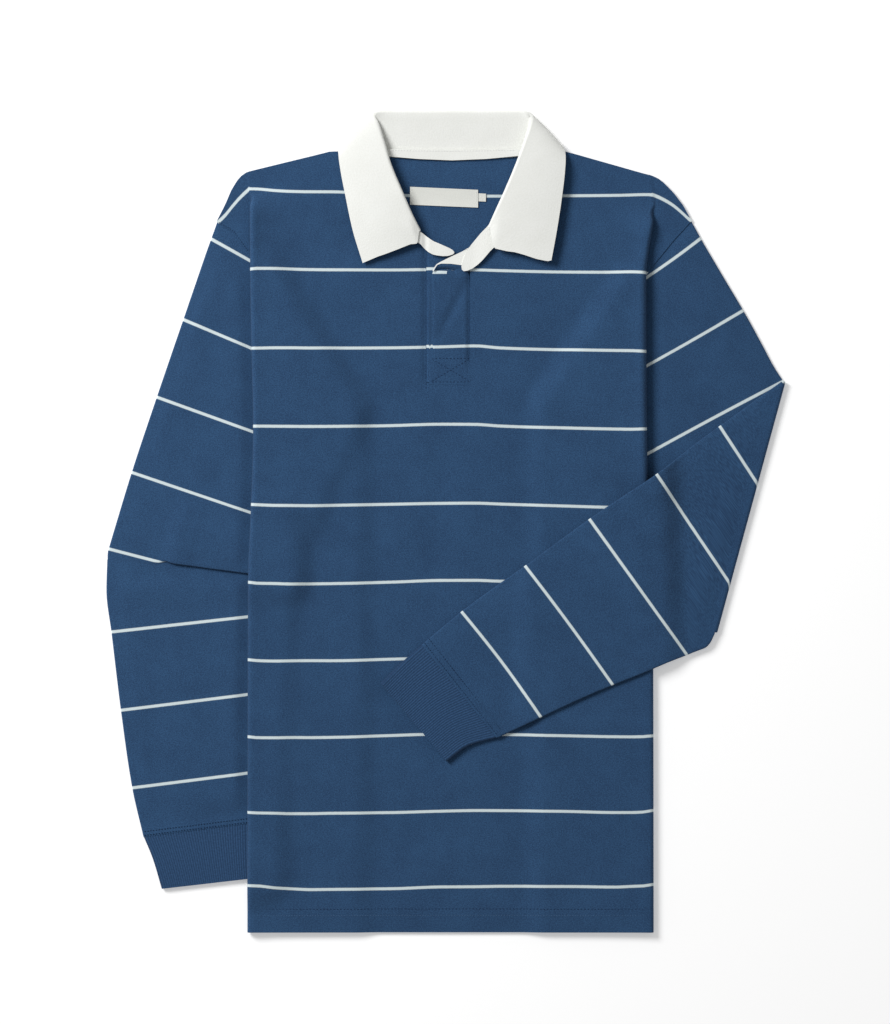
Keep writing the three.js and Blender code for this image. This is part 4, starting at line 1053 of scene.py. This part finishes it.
class Shader:
    def __init__(self, name):
        self.material = bpy.data.materials.new(name)
        self.material.use_nodes = True
        self.tree = self.material.node_tree
        self.surface = self.tree.nodes["Principled BSDF"]

    def join(self, node, sockets):
        for key, value in sockets.items():
            if isinstance(value, Value):
                self.tree.links.new(value.socket, node.inputs[key])
            else:
                node.inputs[key].default_value = value

    def add(self, kind, settings=None, sockets=None, output=0):
        node = self.tree.nodes.new(kind)
        for key, value in (settings or {}).items():
            setattr(node, key, value)
        self.join(node, sockets or {})
        return Value(self, node.outputs[output])

    def noise(self, place, scale, detail=2.0):
        return self.add("ShaderNodeTexNoise", {}, {"Vector": place, "Scale": scale, "Detail": detail})

    def between(self, value, low, high, toLow=0.0, toHigh=1.0):
        sockets = {"Value": value, "From Min": low, "From Max": high, "To Min": toLow, "To Max": toHigh}
        return self.add("ShaderNodeMapRange", {"interpolation_type": "SMOOTHSTEP"}, sockets)

    def mix(self, amount, first, second):
        sockets = {0: amount, 6: first, 7: second}
        return self.add("ShaderNodeMix", {"data_type": "RGBA"}, sockets, 2)

    def finish(self, color, roughness, bump, depth, sheen):
        shaded = self.add("ShaderNodeBump", {}, {"Height": bump, "Distance": depth, "Strength": 1.0})
        self.join(self.surface, {"Base Color": color, "Roughness": roughness, "Normal": shaded,
                                 "Sheen Weight": sheen, "Sheen Roughness": 0.6, "IOR": 1.4,
                                 "Specular IOR Level": 0.25})
        return self.material


def linear(*srgb):
    channels = [c / 255 for c in srgb]
    return [c / 12.92 if c <= 0.04045 else ((c + 0.055) / 1.055) ** 2.4 for c in channels] + [1.0]


jerseyLook = {
    "blue": linear(50, 85, 123),
    "deep": linear(35, 62, 95),
    "stripe": linear(218, 231, 233),
    "stripeHalf": 1.32,  # mm
    "stripeSoft": 0.4,
    "sheen": 0.05,
}


def makeJersey():
    look = jerseyLook
    shader = Shader("blueJersey")
    cut = shader.add("ShaderNodeUVMap", {"uv_map": "cloth"})
    v = shader.add("ShaderNodeSeparateXYZ", {}, {0: cut}, 1)
    spacing = bodyStripes["spacing"] * toMetres
    wales = shader.add("ShaderNodeVectorMath", {"operation": "MULTIPLY"}, {0: cut, 1: (1.0, 1.7, 1.0)})
    grain = shader.noise(wales, 900.0, 1.0)
    knit = shader.noise(wales, 400.0, 2.0)
    clouds = shader.noise(cut, 26.0, 3.0)
    patches = shader.noise(cut, 90.0, 2.0)
    count = v / spacing + 0.5
    part = shader.add("ShaderNodeMath", {"operation": "FRACT"}, {0: count})
    away = shader.add("ShaderNodeMath", {"operation": "ABSOLUTE"}, {0: part - 0.5}) * bodyStripes["spacing"]
    away = away + (knit - 0.5) * 0.35
    half, soft = look["stripeHalf"], look["stripeSoft"]
    stripe = 1 - shader.between(away, half - soft, half + soft)
    tone = shader.between(clouds * 0.12 + patches * 0.08 + knit * 0.2 + grain * 0.6, 0.38, 0.62)
    blue = shader.mix(tone, look["deep"], look["blue"])
    color = shader.mix(stripe * 0.93, blue, look["stripe"])
    return shader.finish(color, 0.92, grain * 0.7 + knit * 0.3, 0.0003, look["sheen"])


def makePlain(name, light, dark, scale, depth, sheen=0.08):
    shader = Shader(name)
    cut = shader.add("ShaderNodeUVMap", {"uv_map": "cloth"})
    weave = shader.noise(cut, scale, 1.0)
    clouds = shader.noise(cut, 40.0, 2.0)
    color = shader.mix(shader.between(weave * 0.6 + clouds * 0.4, 0.3, 0.7), dark, light)
    return shader.finish(color, 0.88, weave, depth, sheen)


jersey = makeJersey()


def makeRib():
    shader = Shader("blueRib")
    cut = shader.add("ShaderNodeUVMap", {"uv_map": "cloth"})
    u = shader.add("ShaderNodeSeparateXYZ", {}, {0: cut}, 0)
    ribTurn = 2 * math.pi / (cuffs["pitch"] * toMetres)
    wave = shader.add("ShaderNodeMath", {"operation": "COSINE"}, {0: u * ribTurn})
    weave = shader.noise(cut, 600.0, 1.0)
    # Painted shade: the colour goes darker in the grooves between the ribs, where the cuff's relief already sinks.
    groove = shader.between(wave, 0.2, 1.0)
    blue = shader.mix(shader.between(weave, 0.3, 0.7), linear(41, 70, 104), linear(50, 82, 120))
    color = shader.mix(groove * 0.55, blue, linear(26, 47, 76))
    return shader.finish(color, 0.92, weave, 0.0002, 0.04)


rib = makeRib()
twill = makePlain("whiteTwill", linear(243, 244, 240), linear(236, 237, 232), 700.0, 0.00015, 0.02)
tape = makePlain("whiteTape", linear(246, 247, 243), linear(239, 240, 235), 800.0, 0.00012, 0.0)
labelCloth = makePlain("labelCloth", linear(230, 231, 225), linear(222, 223, 217), 900.0, 0.0001)
hemThread = makePlain("hemThread", linear(78, 108, 142), linear(62, 90, 124), 900.0, 0.0001, 0.0)
blueThread = makePlain("blueThread", linear(30, 52, 84), linear(24, 44, 74), 900.0, 0.0001, 0.0)
whiteThread = makePlain("whiteThread", linear(240, 241, 237), linear(226, 228, 223), 900.0, 0.0001)


# Sewing

sewing = {"length": 2.0, "gap": 1.1, "radius": 0.28, "sides": 5}


# Small rounded stitches along lines drawn on a surface
def makeStitches(name, lines, material, length=None):
    points, faces = [], []
    long = length or sewing["length"]
    sides = sewing["sides"]
    for line, level in lines:
        line = np.array(line, float)
        total = np.linalg.norm(np.diff(line, axis=0), axis=1).sum()
        number = max(1, int(total / (long + sewing["gap"])))
        for i in range(number):
            middle = (i + 0.5) / number + rng.uniform(-0.04, 0.04) / number
            half = long / 2 / total
            a, b = alongLine(line, [max(0, middle - half), min(1, middle + half)])
            run = (b - a) / max(np.linalg.norm(b - a), 1e-6)
            cross = np.array([-run[1], run[0]])
            start = len(points)
            for share, thick in ((0, 0.35), (0.18, 1), (0.82, 1), (1, 0.35)):
                at = lerp(a, b, share)
                z = float(level(at[0], at[1]))
                sink = 0.0 if thick == 1 else -0.2
                for k in range(sides):
                    turn = 2 * math.pi * k / sides
                    reach = sewing["radius"] * thick
                    points.append([at[0] + cross[0] * reach * math.cos(turn),
                                   at[1] + cross[1] * reach * math.cos(turn),
                                   z + sink + reach * math.sin(turn)])
            for ring in range(3):
                for k in range(sides):
                    p, q = start + ring * sides + k, start + ring * sides + (k + 1) % sides
                    faces.append([p, q, q + sides, p + sides])
            faces.append([start + k for k in reversed(range(sides))])
            faces.append([start + 3 * sides + k for k in range(sides)])
    corners = [points[i][:2] for face in faces for i in face]
    print(f"{name}: {len(faces) * 2} triangles")
    return place(name, makeMesh(name, points, faces, corners, material))


def frontLevel(x, y):
    return panelHeight(x, y, 1) + frontLoft(x, y)


# The over placket lies flat at its foot and curls up to its top
curl = {
    "startY": 152, "run": 50, "foot": 0.14, "top": 1.9, "leftShare": 0.45,
    "lipY": 232, "lipRun": 4, "lip": 1.3,
    "hollow": [[-8.8, 231.4], [-3, 232.6], [3, 232.4], [9, 230.8]], "hollowWidth": 1.2, "hollowDepth": 1.7,
    "trough": [[-5, 170], [7, 194], [22, 224]], "troughWidth": 4.6, "troughDepth": 1.75,
    "leftX": 18.3, "leftRun": 4.4, "leftDrop": 1.5, "rightX": -12.3, "rightWidth": 1.4, "rightDrop": 0.6,
    "sidesY": 134, "sidesRun": 20,
}


# 0 at the right side of the placket, 1 at its left side
def acrossPlacket(x):
    return ease((x + 4) / 24)


def placketLevel(x, y):
    trough, _ = lineDistance(curl["trough"], x, y)
    hollow, _ = lineDistance(curl["hollow"], x, y)
    raised = ease((y - curl["startY"]) / curl["run"]) * lerp(1.0, curl["leftShare"], acrossPlacket(x))
    shape = curl["lip"] * ease((y - curl["lipY"]) / curl["lipRun"])
    shape = shape - curl["hollowDepth"] * bump(hollow / curl["hollowWidth"])
    shape = shape - curl["troughDepth"] * bump(trough / curl["troughWidth"]) * raised
    sides = curl["leftDrop"] * ease((x - curl["leftX"]) / curl["leftRun"])
    sides = sides + curl["rightDrop"] * bump((x - curl["rightX"]) / curl["rightWidth"])
    sides = sides * ease((y - curl["sidesY"]) / curl["sidesRun"])
    return frontLevel(x, y) + lerp(curl["foot"], curl["top"], raised) + shape - sides


# Height of the white pieces at the neck above the front
def neckLevel(x, y, above):
    return frontLevel(x, y) + lerp(2.4, 1.4, acrossPlacket(x)) + above


def cuffRightLevel(x, y):
    return np.zeros(np.shape(x)) + cuffs["wall"] / 2 + cuffs["relief"]


def cuffLeftLevel(x, y):
    return overBody(x, y) + 0.1


# Building

pieces = {}
pieces["back"] = makePanel("back_panel", False, backTop, jersey)
pieces["front"] = makePanel("front_panel", True, frontTop, jersey)
pieces["sleeve_right"] = makeTube("right_sleeve", rightSleeveGrid(), cloth["wall"], jersey)
pieces["sleeve_left"] = makeTube("left_sleeve", leftSleeveGrid(), cloth["wall"], jersey)
pieces["cuff_right"] = makeTube("right_cuff", cuffGrid(cuffs["right"], cuffRightLevel), cuffs["wall"], rib)
pieces["cuff_left"] = makeTube("left_cuff", cuffGrid(cuffs["left"], cuffLeftLevel), cuffs["wall"], rib)

collarMiddle = collarGrid()
collarSheet = Sheet("collar_leaf", collarShape["wall"])
pieces["collar"] = collarSheet.addGrid(collarMiddle, plainUv(collarMiddle)).build(twill)

underFoot = placket["bottom"] + 0.4
pieces["placket_under"] = makeStrip(
    "under_placket",
    [[placket["right"] + 0.4, y] for y in (underFoot, 190, 252)],
    [[placket["left"] - placket["step"], y] for y in (underFoot, 190, 242)],
    cloth["wall"], frontLevel, jersey, stripes=0.7)
overFoot = placket["bottom"] - 1.8


# The stripe sinks towards the curled top of the placket and goes under it
def curledStripe(x, y):
    low = -2.8 * ease((y - 212) / 12)
    farOff = 34.0
    shown = np.where(y > 231.2, -farOff, low)
    return np.where((x > 2.4) & (y > 224), farOff, shown)


pieces["placket_over"] = makeStrip(
    "over_placket",
    [[-14.8, overFoot], [-14.6, 190], [-13.8, 208], [-12.9, 218], [-12, 227], [-10.8, 230.4], [-8.9, 233],
     [-6.6, 236], [-3.4, 237.9]],
    [[23.2, overFoot], [22.9, 180], [22.8, 215], [22.4, 226], [20, 232], [15, 236.3]],
    cloth["wall"], placketLevel, jersey, 1.2, stripes=curledStripe)
smallWall = 0.7
pieces["neck_facing"] = makeStrip(
    "facing",
    [[30.4, 258.5], [24.8, 253.9], [15.6, 248.4], [5.5, 243.8], [-3.9, 239.1], [-7.7, 236.9], [-10.1, 233.6],
     [-11.3, 230.6]],
    [[24, 240], [20, 236.4], [14.7, 236], [5.5, 237.2], [-3.2, 237.4], [-7.0, 236.2], [-9.3, 233.0],
     [-10.5, 230.4]],
    smallWall, lambda x, y: placketLevel(x, np.maximum(y, 236)) + 0.6, tape, 1.2)
pieces["collar_tab_right"] = makeStrip(
    "right_tab",
    [[-32, 274], [-27, 270], [-22.4, 266.5], [-16.5, 262], [-10.8, 258], [-5, 255.6], [0, 253.4], [4.5, 251.4],
     [7.4, 249.6], [8.6, 247.6]],
    [[-33, 259], [-28, 257], [-23, 255.8], [-19, 251.2], [-15.4, 248], [-11.5, 245.8], [-7.6, 244.9], [-2, 244.2],
     [3, 244.4], [7.6, 246]],
    smallWall, lambda x, y: neckLevel(x, y, 1.5) + 1.4 * ease((-10 - x) / 16), twill, 1.5)
pieces["collar_tab_left"] = makeStrip(
    "left_tab",
    [[41, 274], [38, 270.5], [33, 265.5], [28, 259.5], [23.5, 254], [19, 247.5], [16.5, 240.5], [15, 235],
     [15.5, 231.8]],
    [[50, 254], [44.8, 252], [41.5, 248.8], [38, 244.6], [34, 240], [30, 236.3], [25.5, 233], [20.5, 230.8],
     [17.2, 230.4]],
    smallWall, lambda x, y: neckLevel(x, y, 1.8) + 1.2 * ease((x - 24) / 18), twill, 1.5)


def tapeLevel(x, y):
    return np.interp(y, [333, 343], [4.8, 5.9]) + np.abs(x - 6) * 0.012


def labelLevel(x, y):
    return panelHeight(x, y, 0) + cloth["wall"] / 2 + 0.4 + smallWall / 2


pieces["neck_tape"] = makeStrip(
    "back_tape", [[-60, 342.8], [-25, 342.2], [6, 342.1], [38, 342.2], [72, 343]],
    [[-60, 336.6], [-25, 333.6], [6, 332.3], [38, 333.6], [70, 336.6]], smallWall, tapeLevel, tape)
pieces["label"] = makeStrip(
    "bare_label", [[-32.2, 308.2], [-1, 306.8], [30.4, 305.4]], [[-32.2, 291.8], [-1, 290.4], [30.4, 289.1]],
    smallWall, labelLevel, labelCloth)
pieces["size_tab"] = makeStrip(
    "bare_tab", [[30.8, 302.2], [37.6, 301.9]], [[30.8, 294.9], [37.6, 294.6]],
    smallWall, labelLevel, labelCloth)


def onFront(x, y):
    return frontLevel(x, y) + edgeRise(x, y) + cloth["wall"] / 2


def onShoulder(x, y):
    return layerHeight(1) + cloth["wall"] / 2 + 0.25


def onPlacket(x, y):
    return placketLevel(x, y) + cloth["wall"] / 2


def onRightSleeve(x, y):
    return sleeveCentre + sleeveHalf + cuffSeam(fromRightEnd(x, y)) + cloth["wall"] / 2 + 0.5


def onForearm(x, y):
    return overBody(x, y) + cloth["pitch"] + 0.35 + cuffSeam(fromForearmEnd(x, y)) + cloth["wall"] / 2


def onTape(x, y):
    return tapeLevel(x, y) + smallWall / 2


def onLabel(x, y):
    return labelLevel(x, y) + smallWall / 2


hemX = np.linspace(-178, 186, 30)
rightSeam = [[-277, -289.3], [-225, -282.8], [-171, -276]]
placketLines = [
    ([[-17.5, 122], [-17.5, 244]], onFront),
    ([[-13, 150.4], [23, 150.4]], onPlacket), ([[-13, 128.8], [23, 128.8]], onPlacket),
    ([[-12.4, 149.8], [22.4, 129.4]], onPlacket), ([[-12.4, 129.4], [22.4, 149.8]], onPlacket),
]
sewn = {
    "front": [
        makeStitches("hem_stitches", [([[x, -361.6] for x in hemX], onFront)], hemThread, 1.3),
        makeStitches("front_stitches", placketLines + [([[x, -355.6] for x in hemX], onFront)], blueThread),
        makeStitches("armhole_stitches", [([[-208.6, 276], [-194.2, 267.4], [-181, 249]], onShoulder)],
                     blueThread, 1.2),
    ],
    "sleeve_right": [
        makeStitches("right_seam_stitches", [
            ([[x, y + above] for x, y in rightSeam], onRightSleeve) for above in (4.8, 1.4)
        ], blueThread, 1.5),
    ],
    "sleeve_left": [
        makeStitches("left_seam_stitches", [
            ([[-15.4, -106.4], [51, -190.6]], onForearm), ([[-19.4, -110.4], [47.4, -195]], onForearm),
        ], blueThread, 1.5),
    ],
    "label": [
        makeStitches("label_stitches", [
            ([[-30.4, 307], [-30.4, 293]], onLabel), ([[28.6, 304.4], [28.6, 290.6]], onLabel),
        ], whiteThread, 1.2),
    ],
    "neck_tape": [
        makeStitches("tape_stitches", [([[-52, 341.3], [6, 340.7], [64, 341.5]], onTape)], whiteThread, 1.5),
    ],
}


for node, made in pieces.items():
    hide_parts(node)
    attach(made, "root")
    for thread in sewn.get(node, []):
        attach(thread, "root")

# Camera straight above, floor and light

view = {"height": 1024, "pixel": 0.92e-3, "distance": 4.0, "upward": 0.0092}
camera = bpy.data.cameras.new("camera")
camera.sensor_width = camera.sensor_height = 36.0
camera.sensor_fit = "VERTICAL"
camera.lens = 36.0 * view["distance"] / (view["height"] * view["pixel"])
camera.clip_end = 20
cameraObject = place("camera", camera)
cameraObject.location = (0.0, view["upward"], view["distance"])
bpy.context.scene.camera = cameraObject

floorShader = Shader("paleFloor")
floorShader.join(floorShader.surface, {"Base Color": [0.9, 0.9, 0.9, 1], "Roughness": 0.9,
                                       "Emission Color": [1, 1, 1, 1], "Emission Strength": 0.3})
floorMesh = bpy.data.meshes.new("floor")
reach, floorZ = 3, -0.0004
corners = [(-reach, -reach), (reach, -reach), (reach, reach), (-reach, reach)]
floorMesh.from_pydata([(x, y, floorZ) for x, y in corners], [], [(0, 1, 2, 3)])
floorMesh.materials.append(floorShader.material)
place("floor", floorMesh)

light = {"key": 94.0, "size": 1.4, "place": (-1.95, 1.55, 2.0), "aim": (0.0, 0.05, 0.0), "world": 0.33}
lamp = bpy.data.lights.new("keyLight", "AREA")
lamp.energy = light["key"]
lamp.shape = "DISK"
lamp.size = light["size"]
lampObject = place("keyLight", lamp)
lampObject.location = light["place"]
towards = Vector(light["place"]) - Vector(light["aim"])
lampObject.rotation_euler = towards.to_track_quat("Z", "Y").to_euler()
world = bpy.data.worlds.new("studio")
world.use_nodes = True
world.node_tree.nodes["Background"].inputs[0].default_value = (1, 1, 1, 1)
world.node_tree.nodes["Background"].inputs[1].default_value = light["world"]
bpy.context.scene.world = world
bpy.context.scene.view_settings.view_transform = "Standard"
